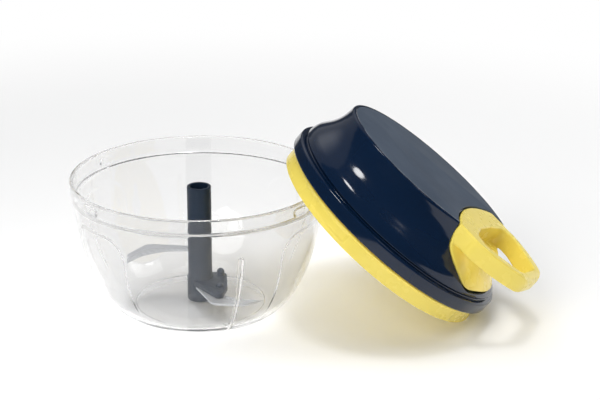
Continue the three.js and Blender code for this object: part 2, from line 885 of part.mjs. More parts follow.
function screws() {
  return screwAzimuths.map((azimuth, i) => {
    const headTop = plateUnder - seatGap;
    const geometry = spun([
      [0, headTop - screwHeadHeight],
      [screwHeadRadius - screwHeadHeight / 2, headTop - screwHeadHeight],
      [screwHeadRadius, headTop - screwHeadHeight / 2],
      [screwHeadRadius, headTop],
      [screwRadius, headTop],
      [screwRadius, plateTop + screwLength - screwRadius - seatGap],
      [0, plateTop + screwLength - seatGap],
    ], tinySegments);
    geometry.translate(screwCircle, 0, 0);
    geometry.rotateZ(azimuth * degree);
    return piece(`base_screw_${i + 1}`, geometry, 'steel');
  });
}

function centrePost() {
  return piece('centre_post', rod(postRadius, cupFloor - cupBase, padSeat - housingWall / 2 - seatGap), 'steel');
}

// Handle

function fingerOutline() {
  const start = fingerHoleStart;
  const end = loopReach - fingerBar;
  const wide = loopHalfWidth - fingerBar - fingerBar / 3;
  const narrow = loopEndHalfWidth - fingerBar;
  return rounded([
    [start, -wide],
    [loopShoulder + fingerBar, -wide],
    [end, -narrow],
    [end, narrow],
    [loopShoulder + fingerBar, wide],
    [start, wide],
  ], [fingerCorner, fingerCorner, fingerCorner, fingerCorner, fingerCorner, fingerCorner]);
}

function loopPlate() {
  const half = loopShares.map(([along, across]) => [along * loopReach, across * loopReach]);
  const other = half.slice(0, -1).reverse().map(([along, across]) => [along, -across]);
  const outline = shapeOf([...half, ...other]);
  return solid(prism(outline, lidHeight - loopThickness, lidHeight)).rotate([0, 0, handleAzimuth]);
}

function knotChamber(radius, from, to) {
  const geometry = rod(radius, from, to, tinySegments);
  geometry.rotateY(Math.PI / 2);
  geometry.translate(0, 0, cordTop);
  geometry.rotateZ(handleAzimuth * degree);
  return solid(geometry);
}

const knotSeat = plugBack + fingerBar;

// The finger hole through the loop, which ends as a shallow seat in the top of the plug
function fingerRoom() {
  const floor = lidHeight - loopThickness - seatGap;
  return solid(prism(fingerOutline(), floor, lidHeight + cutOverrun)).rotate([0, 0, handleAzimuth]);
}

// The knot goes in from under the plug
function knotAccess() {
  const geometry = rod(knotRadius + seatGap, plugFoot - cutOverrun, cordTop, tinySegments);
  geometry.translate(knotSeat + knotLength / 2, 0, 0);
  geometry.rotateZ(handleAzimuth * degree);
  return solid(geometry);
}

function handle() {
  const plug = plugBlock(0).intersect(domeSolid(0, lidHeight));
  return piece('handle', cut(
    join(plug, loopPlate()),
    fingerRoom(),
    knotChamber(cordRadius + seatGap, 0, knotSeat + seatGap),
    knotChamber(knotRadius + seatGap, knotSeat, knotSeat + knotLength + seatGap * 2),
    knotAccess(),
  ), 'yellow');
}

function alongPull(name, geometry, finish) {
  geometry.rotateY(Math.PI / 2);
  geometry.translate(0, 0, cordTop);
  geometry.rotateZ(handleAzimuth * degree);
  return piece(name, geometry, finish);
}

function cordKnot() {
  const start = knotSeat + seatGap;
  return alongPull('cord_knot', spun([
    [0, start],
    [knotRadius, start],
    [knotRadius, start + knotLength - knotRadius / 2],
    [knotRadius / 2, start + knotLength],
    [0, start + knotLength],
  ], tinySegments), 'cord');
}

function cordEyelet() {
  const hole = cordRadius + seatGap;
  const outer = cordRadius + eyeletWall;
  const inner = eyeletInner - seatGap;
  return alongPull('cord_eyelet', spun([
    [hole, inner],
    [outer, inner],
    [outer, plugBack - pocketGap],
    [hole, plugBack - pocketGap],
  ], tinySegments), 'steel');
}

// Cord and spool

// The point where the cord leaves the drum for the eyelet, as an angle about the lid's axis
const leaveAngle = Math.acos(windRadius / (eyeletInner - cordPitch));

class Winding extends THREE.Curve {
  getPoint(t) {
    const turns = cordTurns * t;
    const angle = leaveAngle + (cordTurns - turns) * 2 * Math.PI;
    return new THREE.Vector3(windRadius * Math.cos(angle), windRadius * Math.sin(angle), cordFoot + cordPitch * turns);
  }
}

function cordSection() {
  return shapeOf(arc(0, 0, cordRadius, 0, 300, 5));
}

function cordWinding() {
  const path = new Winding();
  const geometry = new THREE.ExtrudeGeometry(cordSection(), { steps: Math.round(24 * cordTurns), extrudePath: path });
  geometry.rotateZ(handleAzimuth * degree);
  const points = path.getPoints(200);
  let least = Infinity;
  points.forEach((p, i) => {
    points.slice(i + 20).forEach((q) => {
      least = Math.min(least, p.distanceTo(q));
    });
  });
  console.log(`cord_winding: least gap between turns ${(least - 2 * cordRadius).toFixed(2)} mm`);
  return piece('cord_winding', geometry, 'cord');
}

function cordLead() {
  const leave = new THREE.Vector3(windRadius * Math.cos(leaveAngle), windRadius * Math.sin(leaveAngle), cordTop);
  const bend = new THREE.Vector3(eyeletInner - cordPitch, 0, cordTop);
  const along = bend.clone().sub(leave).normalize();
  const start = leave.clone().addScaledVector(along, seatGap);
  const path = new THREE.CurvePath();
  path.add(new THREE.LineCurve3(start, bend.clone().addScaledVector(along, -cordPitch)));
  path.add(new THREE.QuadraticBezierCurve3(
    bend.clone().addScaledVector(along, -cordPitch),
    bend,
    new THREE.Vector3(bend.x + cordPitch, 0, cordTop),
  ));
  path.add(new THREE.LineCurve3(new THREE.Vector3(bend.x + cordPitch, 0, cordTop),
    new THREE.Vector3(knotSeat, 0, cordTop)));
  const geometry = new THREE.ExtrudeGeometry(cordSection(), { steps: 14, extrudePath: path });
  geometry.rotateZ(handleAzimuth * degree);
  return piece('cord_lead', geometry, 'cord');
}

function spool() {
  const cupFoot = drumTop + flangeThickness;
  const bore = postRadius + seatGap;
  const body = solid(spun([
    [bore, spoolFoot],
    [flangeRadius, spoolFoot],
    [flangeRadius, drumFoot],
    [drumRadius, drumFoot],
    [drumRadius, drumTop],
    [flangeRadius, drumTop],
    [flangeRadius, springTop],
    [flangeRadius - cupWall, springTop],
    [flangeRadius - cupWall, cupFoot],
    [bore, cupFoot],
  ], smallSegments * 2));
  const holes = pawlPlaces().map(([x, y]) => {
    const geometry = rod(pawlPinRadius + seatGap, spoolFoot - cutOverrun, drumFoot + flangeThickness, tinySegments);
    geometry.translate(x, y, 0);
    return solid(geometry);
  });
  return piece('spool', cut(body, ...holes), 'nylon');
}

// A flat strip wound from the arbor out to the cup's wall
function recoilSpring() {
  const inside = arborRadius + seatGap;
  const outside = flangeRadius - cupWall - seatGap - springThickness;
  const steps = 20 * springTurns;
  const growth = (outside - inside) / springTurns;
  const rings = [];
  for (let i = 0; i <= steps; i += 1) {
    const angle = i * 2 * Math.PI * springTurns / steps;
    const radius = inside + (outside - inside) * i / steps;
    const corner = (r, z) => new THREE.Vector3(r * Math.cos(angle), r * Math.sin(angle), z);
    rings.push([
      corner(radius, springFoot),
      corner(radius + springThickness, springFoot),
      corner(radius + springThickness, springTop - seatGap),
      corner(radius, springTop - seatGap),
    ]);
  }
  console.log(`recoil_spring: least gap between turns ${(growth - springThickness).toFixed(2)} mm`);
  return piece('recoil_spring', loft(rings), 'springSteel');
}

// One-way drive

function pawlPlaces() {
  return [0, 180].map((turn) => {
    const angle = (pawlPivotAngle + turn) * degree;
    return [pawlPivotRadius * Math.cos(angle), pawlPivotRadius * Math.sin(angle)];
  });
}

const pawlFoot = cupFloor + cupBase + runningGap;
const pawlTop = spoolFoot - runningGap;

function pawl(i) {
  const [x, y] = pawlPlaces()[0];
  const tipRadius = toothRoot - pawlBite;
  const tipAngle = pawlTipAngle * degree;
  const tip = [tipRadius * Math.cos(tipAngle), tipRadius * Math.sin(tipAngle)];
  const heel = [(tipRadius - pawlNose) * Math.cos(tipAngle), (tipRadius - pawlNose) * Math.sin(tipAngle)];
  const toTip = Math.atan2(tip[1] - y, tip[0] - x) / degree;
  const outline = [...arc(x, y, pawlHub, toTip + pawlHubFrom, toTip + pawlHubTo, 9), heel, tip];
  const geometry = prism(shapeOf(outline), pawlFoot, pawlTop);
  const pin = rod(pawlPinRadius + seatGap, pawlFoot - cutOverrun, pawlTop + cutOverrun, tinySegments);
  pin.translate(x, y, 0);
  const body = cut(solid(geometry), solid(pin)).rotate([0, 0, 180 * i]);
  return piece(`pawl_${i + 1}`, body, 'steel');
}

function pawlPin(i) {
  const [x, y] = pawlPlaces()[i];
  const geometry = rod(pawlPinRadius, pawlFoot, drumFoot + flangeThickness - seatGap, tinySegments);
  geometry.translate(x, y, 0);
  return piece(`pawl_pin_${i + 1}`, geometry, 'steel');
}

function driveHub() {
  const cup = solid(spun([
    [0, driverTip],
    [driverRadius - housingEdge, driverTip],
    [driverRadius, driverTip + housingEdge],
    [driverRadius, driverStart],
    [journalRadius, driverStart],
    [journalRadius, cupFloor],
    [ratchetRadius, cupFloor],
    [ratchetRadius, spoolFoot - runningGap],
    [0, spoolFoot - runningGap],
  ], smallSegments * 2));
  const teeth = [];
  for (let i = 0; i < toothCount; i += 1) {
    const root = i * 360 / toothCount;
    const next = (i + 1) * 360 / toothCount;
    const middle = (toothRoot + toothTip) / 2;
    teeth.push(polar(toothRoot, root), polar(middle, (root + next) / 2), polar(toothTip, next));
  }
  const inside = solid(prism(shapeOf(teeth), cupFloor + cupBase, spoolFoot + cutOverrun));
  const grooves = [];
  for (let i = 0; i < splineCount; i += 1) {
    const geometry = rod(splineRadius + seatGap, driverTip - cutOverrun, driverStart - cutOverrun / 4, 8);
    geometry.translate(shaftBoreRadius, 0, 0);
    geometry.rotateZ(i * 2 * Math.PI / splineCount);
    grooves.push(solid(geometry));
  }
  const bore = solid(rod(postRadius + seatGap, cupFloor - cupBase - seatGap, spoolFoot + cutOverrun));
  return piece('drive_hub', cut(cup, inside, ...grooves, bore), 'acetal');
}

// The assembly

const chopper = new THREE.Group();
const bowlMesh = bowl();
const ringMesh = baseRing();
chopper.add(bowlMesh, spindle(), footBush(), bladeShaft(), upperBlade(), lowerBlade(), ...rivets());

const lid = new THREE.Group();
lid.add(housing(), topPad(), ringMesh, driveBearing(), centrePost(), cordEyelet(), ...screws());
lid.add(handle(), cordKnot(), cordLead());
lid.add(spool(), cordWinding(), recoilSpring(), driveHub());
lid.add(pawl(0), pawl(1), pawlPin(0), pawlPin(1));

// The lid leans on the rim: its ring stands on the table, as near as it goes without touching the bowl
const leanHeight = (ringRadius - ringEdge) * Math.sin(leanAngle * degree);

function leanDistance() {
  const standing = solid(bowlMesh.geometry.clone());
  const leaning = solid(ringMesh.geometry.clone()).rotate([0, leanAngle, 0]);
  let near = rimRadius;
  let far = rimRadius + ringRadius;
  for (let i = 0; i < leanSteps; i += 1) {
    const middle = (near + far) / 2;
    if (standing.intersect(leaning.translate([middle, 0, leanHeight])).isEmpty()) far = middle;
    else near = middle;
  }
  return far + leanGap;
}

lid.position.set(leanDistance(), 0, leanHeight);
lid.rotation.y = leanAngle * degree;
console.log(`lid: centre at x ${lid.position.x.toFixed(2)}, z ${lid.position.z.toFixed(2)} mm`);
chopper.add(lid);

export default chopper;
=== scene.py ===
"""Looks of a pull-cord food chopper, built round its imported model: a clear bowl with a blade unit, and the
drive lid that leans on its rim. Sizes are in millimetres, and each mesh is scaled to metres once made."""

import json
import math

import bpy
from mathutils import Matrix, Vector


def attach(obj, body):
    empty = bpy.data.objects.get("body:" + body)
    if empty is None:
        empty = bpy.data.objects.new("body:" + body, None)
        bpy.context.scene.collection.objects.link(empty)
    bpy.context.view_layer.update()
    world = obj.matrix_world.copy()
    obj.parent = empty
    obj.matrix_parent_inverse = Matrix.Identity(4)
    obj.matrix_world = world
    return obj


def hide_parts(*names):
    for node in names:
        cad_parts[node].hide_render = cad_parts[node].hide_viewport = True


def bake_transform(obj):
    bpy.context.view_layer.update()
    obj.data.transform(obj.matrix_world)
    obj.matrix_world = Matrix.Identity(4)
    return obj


MM = 0.001
TURN = 2 * math.pi

# Fineness
ROUND_STEPS = 360
BOWL_STEPS = 900
RING_STEPS = 480
SMALL_STEPS = 96
PIN_STEPS = 40
HOLE_STEPS = 32
SCREW_STEPS = 24
SHARP = math.radians(32)

# Clearances
SEAT_GAP = 0.3
OVERRUN = 4

# Bowl
BOWL_HEIGHT = 75.5
RIM_RADIUS = 70
BOWL_WALL = 2.4
BOWL_FLOOR = 3
BAND_HEIGHT = 10.4
BAND_DRAFT = 0.7
LEDGE_RUN = 3.6
BAND_STEP = 1.4
STEP_START = 0.25
STEP_LIFT = 0.05
STEP_ROUND = 0.5
STEP_CORNER_SHARES = (0.24, 0.36)
LIP_RADIUS = 0.9
LIP_DROP = 0.2
BASE_RADIUS = 38
BASE_TURN = 13.5
SIDE_FULLNESS = 35
SIDE_LEAN = 1.2
FOOT_RING = 1.6
FOOT_LIFT = 0.06
FOOT_RECESS = 0.7
FOOT_SHARES = (0.3, 0.7)
FOOT_SLOPE_SHARES = (1 / 3, 0.7)
FLOOR_FLAT = 33
FILLET_START = 0.25
PANEL_RELIEF = 0.45
PANEL_FADE = (10, 24)
PANEL_TOP = 57.5
PANEL_TOP_HALF = 22
PANEL_FOOT_HALF = 15
PANEL_CORNER = 13
PANEL_EDGE = 0.5
PANEL_AZIMUTHS = (-141, -25, 39, 155)
RIB_RELIEF = 1.6
RIB_TOP = 51.5
RIB_HALF = 1.3
RIB_FOOT_SHARE = 0.5
RIB_EDGE = 0.45
RIB_AZIMUTHS = (-66, 105)
RIB_FINE_ANGLE = 0.15
RIB_FINE_STEPS = 20
LUG_WIDTH = 11
LUG_HEIGHT = 4.2
LUG_REACH = 1
LUG_EDGE = 0.9
LUG_AZIMUTHS = (-141, -34, 39, 146)
SOCKET_RADIUS = 2.3
SOCKET_DEPTH = 1.8
SOCKET_RIM = 2
SIDE_ROWS = 40
BAND_ROWS = 40
WALL_ROWS = 99
FILLET_ROWS = 18

# Blade unit
SHAFT_TOP = 69.5
SHAFT_RADIUS = 6.6
HUB_RADIUS = 7.2
HUB_HEIGHT = 13.5
HUB_TAPER = 2
BORE_RADIUS = 5
BORE_DEPTH = 24
EDGE_ROUND = 0.45
SHAFT_EDGE = 0.25
SPLINE_RADIUS = 0.8
SPLINE_COUNT = 6
SPLINE_START = 3
SPLINE_LEAD = 0.01
BUSH_RADIUS = 4.5
BUSH_TOP = 15.5
BLADE_REACH = 42.8
BLADE_THICKNESS = 1.3
BLADE_EDGE = 0.2
BLADE_RIDGE = 0.55
BLADE_ROUND = 0.08
BLADE_ROWS = 48
BLADE_SHARP = math.radians(20)
GROUND_TILT = (0.05, 0.999)
UPPER_BLADE = (31, 180)
LOWER_BLADE = (11.9, -60)
BACK_SHARES = ((0.08, -0.12), (0.3, -0.136), (0.5, -0.15), (0.657, -0.157), (0.748, -0.086), (0.914, 0.2))
EDGE_SHARES = ((0.08, 0.03), (0.28, 0.038), (0.467, 0.07), (0.671, 0.185), (0.79, 0.315), (0.886, 0.463))
HOLDER_THICKNESS = 3
HOLDER_REACH = 27.5
HOLDER_SHARES = ((-0.12, -0.24), (0.484, -0.982), (0.578, -0.465), (0.52, 0.17), (0.15, 0.24))
HOLDER_CORNER = 2.4
TANG_SHARE = 0.86
RIVET_SHARES = ((0.407, 0.084), (0.43, -0.48))
RIVET_RADIUS = 1.1
RIVET_HEAD = 2.1
RIVET_HEAD_HEIGHT = 1.1
RIVET_EDGE = 0.3
RIVET_GAP = 0.02
CROWN_SHARE = 0.9
CROWN_ROWS = 6
KNOB_HEIGHT = 3.6

# Lid
RING_RADIUS = 66.1
RING_HEIGHT = 9.5
RING_WALL = 1.8
RING_BEAD = 1.9
RING_BEAD_STEP = 0.65
RING_BEAD_DROP = 0.45
RING_EDGE = 0.4
RING_LEAD = (0.9, 2.4)
RING_ROWS = 40
LEAD_ROUND = 0.2
LEAD_SHIFT = 0.15
PLATE_LIFT = 0.4
PLATE_THICKNESS = 2
PLATE_FILLET = 0.8
CHANNEL_AZIMUTHS = (-144, -39, 36, 141)
CHANNEL_DEPTH = 0.6
CHANNEL_RUN = 24
CHANNEL_EDGE = 0.8
BEARING_INNER = 7.4
BEARING_WALL = 2.4
BOSS_DROP = 4.2
BOSS_EDGE = 0.4
BOSS_FILLET = 0.6
BAND_RADIUS = 69.2
BAND_TOP = 17.3
BAND_EDGE = 1.4
FOOT_EDGE = 0.6
BAND_GAP = 0.5
LIP_EDGE = 0.8
LIP_RISE = 0.2
GROOVE_DEPTH = 0.9
GROOVE_HEIGHT = 1.3
DOME_RADIUS = 66.6
LID_HEIGHT = 46.2
TOP_LENGTH = 56.3
TOP_WIDTH = 48.5
TOP_OFFSET = -1
HOUSING_WALL = 2.4
HOUSING_EDGE = 0.12
CAVITY_STEP = 1
CAVITY_HEIGHTS = (22, 25, 28, 31, 34, 38)
DOME_ROWS = 48
DOME_SKIN_ROWS = 56
TOP_EDGE = 1.2
TOP_EDGE_ROWS = 8
PAD_THICKNESS = 1.8
PAD_MARGIN = 1.9
PAD_GAP = 0.2
PAD_DROP = 0.05
PAD_EDGE = 0.3

# How far the dome has drawn in from the band to the top face, by the share of its height
UPHILL_SHARES = (
    (0, 0), (0.09, 0.04), (0.2, 0.15), (0.31, 0.35), (0.42, 0.56),
    (0.53, 0.725), (0.66, 0.86), (0.82, 0.955), (1, 1),
)
DOWNHILL_SHARES = (
    (0, 0), (0.09, 0.17), (0.2, 0.42), (0.31, 0.63), (0.42, 0.77),
    (0.53, 0.87), (0.66, 0.94), (0.82, 0.985), (1, 1),
)
DOWNHILL_START = 0.45
DOWNHILL_SPREAD = 0.4

# Handle
PLUG_HALF = 35.5
PLUG_FOOT = 21.3
PLUG_CORNER = 12.5
PLUG_BACK = 27
PLUG_BACK_RADIUS = 86
PLUG_BACK_SHIFT = 5.3
PLUG_BACK_DRAFT = (38, 1.6)
PLUG_BACK_CORNER = 4
POCKET_GAP = 1
POCKET_WALL = 2
LOOP_REACH = 79
LOOP_THICKNESS = 10
LOOP_HALF = 35.4
LOOP_SHOULDER = 47
LOOP_SHARES = (
    (0.44, 0.438), (0.56, 0.441), (0.62, 0.448), (0.709, 0.42), (0.772, 0.389),
    (0.835, 0.346), (0.924, 0.262), (0.975, 0.187), (0.997, 0.101), (1, 0),
)
LOOP_STEPS = 96
FINGER_BAR = 6.2
FINGER_OUTLINE = (
    (40.4, -9), (44, -24), (52, -28.5), (72.8, -13.8),
    (72.8, 13.8), (53.2, 30.2), (43, 28.5), (40.4, 10),
)
FINGER_CORNERS = (14, 8, 9, 9, 9, 9, 5, 14)
LOOP_END_ROUND = 7
LOOP_END_FOOT_ROUND = 2.5
LOOP_FAR_WIDENING = 2.2
LOOP_FAR_PLACE = 74
LOOP_FAR_RUN = 12
HANDLE_GRAIN = 0.34
HANDLE_PASSES = 14
HANDLE_SHARP = math.radians(60)
CORD_RADIUS = 1.1
CORD_SIDES = 16
CORD_HEIGHT = 32.58
KNOT_RADIUS = 2.6
KNOT_LENGTH = 5
CORD_RINGS = 60
SCREW_CIRCLE = 52
SCREW_AZIMUTHS = (63, 153, 243)
SCREW_HOLE = 1.7
SCREW_OVERRUN = 1
EYELET_RADIUS = 3.1

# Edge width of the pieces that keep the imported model's shape
KEPT_EDGE = 0.12

# Height along the lid's axis at which the record gives the joint driver_spin
DRIVER_SPIN_HEIGHT = 12

# Clear plastic: a ray that has met more surfaces than this passes straight on
CAUGHT_AFTER = 4.5

# Moulded plastic: how fine the drift in its colour and in its gloss is
TONE_SCALE = 35
GLOSS_SCALE = 105

# Camera: where it stands, how it is turned, and its lens
CAMERA_PLACE = (76.8, -869.1, 383.5)
CAMERA_YAW = 1.43
CAMERA_PITCH = -20.29
CAMERA_ROLL = 0.35
SENSOR = 36
LENS = 102
FARTHEST_METRES = 50

# Stage
FLOOR_REACH = 5000
NEAR_FLOOR = 260
FAR_FLOOR = 620
LIT_POINT = (90, -20, 60)
SOFTBOX_DIRECTION = (-0.27, 0.67, 0.7)
SOFTBOX_DISTANCE = 1500
SOFTBOX_RADIUS = 975
SOFTBOX_GLOW = (1, 0.32)
SOFTBOX_CORE = 0.6
SOFTBOX_STEPS = 64
ROOM_TINT = (0.95, 0.97, 1, 1)
ROOM_GLOW = 0.08
SURROUND_GLOW = 0.9

# Round lamps: name, direction from the lit point, distance, width, glow, and whether gloss shows them
LAMPS = (
    ("overhead_lamp", (0.02, -0.06, 1), 1300, 260, 18, True),
    ("right_lamp", (0.71, 0.03, 0.7), 1200, 220, 2.4, True),
    ("top_fill", (-0.15, 0.05, 1), 1500, 1500, 1.6, False),
    ("front_fill", (-0.45, -0.75, 0.5), 1500, 1100, 4.4, False),
    ("right_fill", (0.75, 0.1, 0.65), 1500, 1100, 2.8, False),
)

# Places worked out from the sizes above
BAND_FOOT = BOWL_HEIGHT - BAND_HEIGHT
BODY_RADIUS = RIM_RADIUS - BAND_DRAFT - BAND_STEP
BAND_INNER = RIM_RADIUS - BOWL_WALL
UNIT_FOOT = BOWL_FLOOR + SEAT_GAP
HOLDER_FOOT = LOWER_BLADE[0] + BLADE_THICKNESS + SEAT_GAP
PLATE_UNDER = RING_HEIGHT + PLATE_LIFT
PLATE_TOP = PLATE_UNDER + PLATE_THICKNESS
DOME_FOOT = BAND_TOP + GROOVE_HEIGHT
PAD_SEAT = LID_HEIGHT - PAD_THICKNESS
CAVITY_TOP = PAD_SEAT - HOUSING_WALL
KNOT_SEAT = PLUG_BACK + FINGER_BAR
EYELET_INNER = PLUG_BACK - POCKET_GAP - POCKET_WALL

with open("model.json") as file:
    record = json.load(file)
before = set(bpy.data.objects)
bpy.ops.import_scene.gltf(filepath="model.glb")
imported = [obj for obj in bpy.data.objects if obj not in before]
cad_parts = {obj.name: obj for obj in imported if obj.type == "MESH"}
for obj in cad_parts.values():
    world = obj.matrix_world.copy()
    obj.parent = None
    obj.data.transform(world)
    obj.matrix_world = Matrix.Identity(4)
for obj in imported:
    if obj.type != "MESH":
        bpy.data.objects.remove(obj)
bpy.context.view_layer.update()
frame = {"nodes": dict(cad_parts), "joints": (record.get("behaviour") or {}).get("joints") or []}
joints = {joint["name"]: joint for joint in frame["joints"]}


def lid_frame():
    """The lid's own frame: Z is its axis, X runs downhill, and the ring's lower edge is round its origin."""
    spin = joints["driver_spin"]
    up = -Vector(spin["axis"]).normalized()
    origin = Vector(spin["pos_m"]) - up * DRIVER_SPIN_HEIGHT * MM
    across = Vector((0, 1, 0))
    downhill = across.cross(up)
    turned = Matrix((downhill, across, up)).transposed().to_4x4()
    return Matrix.Translation(origin) @ turned


def handle_frame(lid):
    """The lid's frame, turned about its axis so that X runs along the handle's pull."""
    pull = lid.to_3x3().inverted() @ Vector(joints["handle_pull"]["axis"])
    return lid @ Matrix.Rotation(math.atan2(pull.y, pull.x), 4, "Z")


HERE = Matrix.Identity(4)
LID = lid_frame()
HANDLE = handle_frame(LID)
HANDLE_AZIMUTH = math.atan2(*reversed((LID.inverted() @ HANDLE).col[0].xy))


# Shapes


def arc(centre, radius, start, end, steps):
    """Points on an arc, from one angle in degrees to another."""
    points = []
    for i in range(steps + 1):
        angle = math.radians(start + (end - start) * i / steps)
        points.append((centre[0] + radius * math.cos(angle), centre[1] + radius * math.sin(angle)))
    return points


def catmull(points, t):
    """A point on the Catmull-Rom curve through the points, for t from 0 to 1."""
    place = t * (len(points) - 1)
    i = min(int(place), len(points) - 2)
    w = place - i
    p0, p1 = points[max(i - 1, 0)], points[i]
    p2, p3 = points[i + 1], points[min(i + 2, len(points) - 1)]
    out = []
    for a, b, c, d in zip(p0, p1, p2, p3):
        v0, v1 = (c - a) / 2, (d - b) / 2
        out.append((2 * b - 2 * c + v0 + v1) * w**3 + (-3 * b + 3 * c - 2 * v0 - v1) * w**2 + v0 * w + b)
    return tuple(out)


def eased(table, x):
    """A smooth rising curve through the table's pairs."""
    if x <= table[0][0]:
        return table[0][1]
    if x >= table[-1][0]:
        return table[-1][1]
    slopes = []
    for i, (px, py) in enumerate(table):
        if i in (0, len(table) - 1):
            slopes.append(0)
            continue
        before = (py - table[i - 1][1]) / (px - table[i - 1][0])
        after = (table[i + 1][1] - py) / (table[i + 1][0] - px)
        slopes.append(0 if before * after <= 0 else 2 * before * after / (before + after))
    i = max(k for k in range(len(table) - 1) if table[k][0] <= x)
    (x0, y0), (x1, y1) = table[i], table[i + 1]
    h = x1 - x0
    w = (x - x0) / h
    rise = y0 * (1 + 2 * w) * (1 - w) ** 2 + y1 * w * w * (3 - 2 * w)
    return rise + h * (slopes[i] * w * (1 - w) ** 2 - slopes[i + 1] * w * w * (1 - w))


def smooth(share):
    """A soft step: 0 below 0, 1 above 1."""
    w = min(max(share, 0), 1)
    return w * w * (3 - 2 * w)


def fade(distance, width):
    """1 well inside an edge, 0 well outside it, and smooth across its width."""
    return smooth(0.5 - distance / (2 * width))


def rounded(corners, radii, steps=6):
    """An outline whose corners are rounded, each with its own radius."""
    outline = []
    for i, corner in enumerate(corners):
        here = Vector(corner)
        before, after = Vector(corners[i - 1]), Vector(corners[(i + 1) % len(corners)])
        if not radii[i]:
            outline.append(tuple(here))
            continue
        to_before, to_after = (before - here).normalized(), (after - here).normalized()
        half = to_before.angle(to_after) / 2
        room = min((before - here).length, (after - here).length) / 2
        reach = min(radii[i] / math.tan(half), room)
        start, end = here + to_before * reach, here + to_after * reach
        radius = reach * math.tan(half)
        centre = here + (to_before + to_after).normalized() * (radius / math.sin(half))
        first = math.atan2(*reversed(start - centre))
        sweep = math.atan2(*reversed(end - centre)) - first
        sweep = (sweep + math.pi) % TURN - math.pi
        for k in range(steps + 1):
            angle = first + sweep * k / steps
            outline.append((centre.x + radius * math.cos(angle), centre.y + radius * math.sin(angle)))
    return outline


def made(name, points, faces, place=HERE):
    """A mesh object from points in millimetres in the frame given."""
    mesh = bpy.data.meshes.new(name)
    mesh.from_pydata([Vector(p) for p in points], [], faces)
    mesh.transform(place @ Matrix.Scale(MM, 4))
    mesh.validate()
    obj = bpy.data.objects.new(name, mesh)
    bpy.context.scene.collection.objects.link(obj)
    return obj


def skinned(rings, looped=False):
    """Points and faces of a skin over rings of equal count; a ring of one point is a pole."""
    points, starts = [], []
    for ring in rings:
        starts.append(len(points))
        points.extend(ring)
    faces = []
    pairs = list(zip(range(len(rings) - 1), range(1, len(rings))))
    if looped:
        pairs.append((len(rings) - 1, 0))
    for a, b in pairs:
        count = max(len(rings[a]), len(rings[b]))
        for i in range(count):
            j = (i + 1) % count
            low = [starts[a]] if len(rings[a]) == 1 else [starts[a] + i, starts[a] + j]
            high = [starts[b]] if len(rings[b]) == 1 else [starts[b] + j, starts[b] + i]
            faces.append(low + high)
    return points, faces


def shaped_ring(height, radius_of, steps=ROUND_STEPS):
    """A level ring whose radius is a function of the angle."""
    angles = [TURN * i / steps for i in range(steps)]
    return [(radius_of(a) * math.cos(a), radius_of(a) * math.sin(a), height) for a in angles]


def turned_ring(radius, height, steps):
    return shaped_ring(height, lambda angle: radius, steps) if radius else [(0, 0, height)]


def rod_profile(radius, low, high):
    """The profile of a plain rod, for a turned body."""
    return [(0, low), (radius, low), (radius, high), (0, high)]


def turned(name, profile, steps=SMALL_STEPS, place=HERE):
    """A profile of (radius, height) spun about Z."""
    points, faces = skinned([turned_ring(r, z, steps) for r, z in profile])
    return made(name, points, faces, place)


def lofted(name, rings, place=HERE):
    """A closed body through rings, with a flat cap at both ends."""
    points, faces = skinned(rings)
    count = len(rings[0])
    faces.append(list(range(count))[::-1])
    faces.append(list(range(len(points) - count, len(points))))
    return made(name, points, faces, place)


def prism(name, outline, low, high, place=HERE):
    return lofted(name, [[(x, y, low) for x, y in outline], [(x, y, high) for x, y in outline]], place)


def combined(body, tool, operation):
    """The body joined with, cut by or kept only inside a tool, which is used up."""
    modifier = body.modifiers.new("combine", "BOOLEAN")
    modifier.object = tool
    modifier.operation = operation
    modifier.solver = "MANIFOLD"
    settle(body)
    mesh = tool.data
    bpy.data.objects.remove(tool)
    bpy.data.meshes.remove(mesh)
    return body


def cut(body, *tools):
    for tool in tools:
        combined(body, tool, "DIFFERENCE")
    return body


def joined(body, tool):
    return combined(body, tool, "UNION")


def kept_inside(body, tool):
    return combined(body, tool, "INTERSECT")


def settle(obj):
    """Applies an object's modifiers to its mesh."""
    bpy.context.view_layer.update()
    graph = bpy.context.evaluated_depsgraph_get()
    mesh = bpy.data.meshes.new_from_object(obj.evaluated_get(graph))
    obj.modifiers.clear()
    old = obj.data
    obj.data = mesh
    bpy.data.meshes.remove(old)


def softened(obj, width, steps=2):
    """Rounds an object's sharp edges."""
    modifier = obj.modifiers.new("edges", "BEVEL")
    modifier.width = width * MM
    modifier.segments = steps
    modifier.limit_method = "ANGLE"
    modifier.angle_limit = SHARP
    modifier.use_clamp_overlap = True
    modifier.miter_outer = "MITER_ARC"
    settle(obj)


def evened(obj, grain, passes):
    """Rebuilds an object's skin in a fine even grid and eases it, which rounds its edges softly."""
    remesh = obj.modifiers.new("grid", "REMESH")
    remesh.mode = "VOXEL"
    remesh.voxel_size = grain * MM
    ease = obj.modifiers.new("ease", "SMOOTH")
    ease.iterations = passes
    settle(obj)


def shaded(obj, sharp=SHARP):
    mesh = obj.data
    mesh.shade_smooth()
    mesh.set_sharp_from_angle(angle=sharp)
    return obj


def finished(obj, material, body, node):
    """Gives a piece its material and its body, and hides the imported node that it stands for."""
    obj.data.materials.clear()
    for each in material if isinstance(material, (list, tuple)) else [material]:
        obj.data.materials.append(each)
    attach(obj, body)
    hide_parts(node)


# Materials


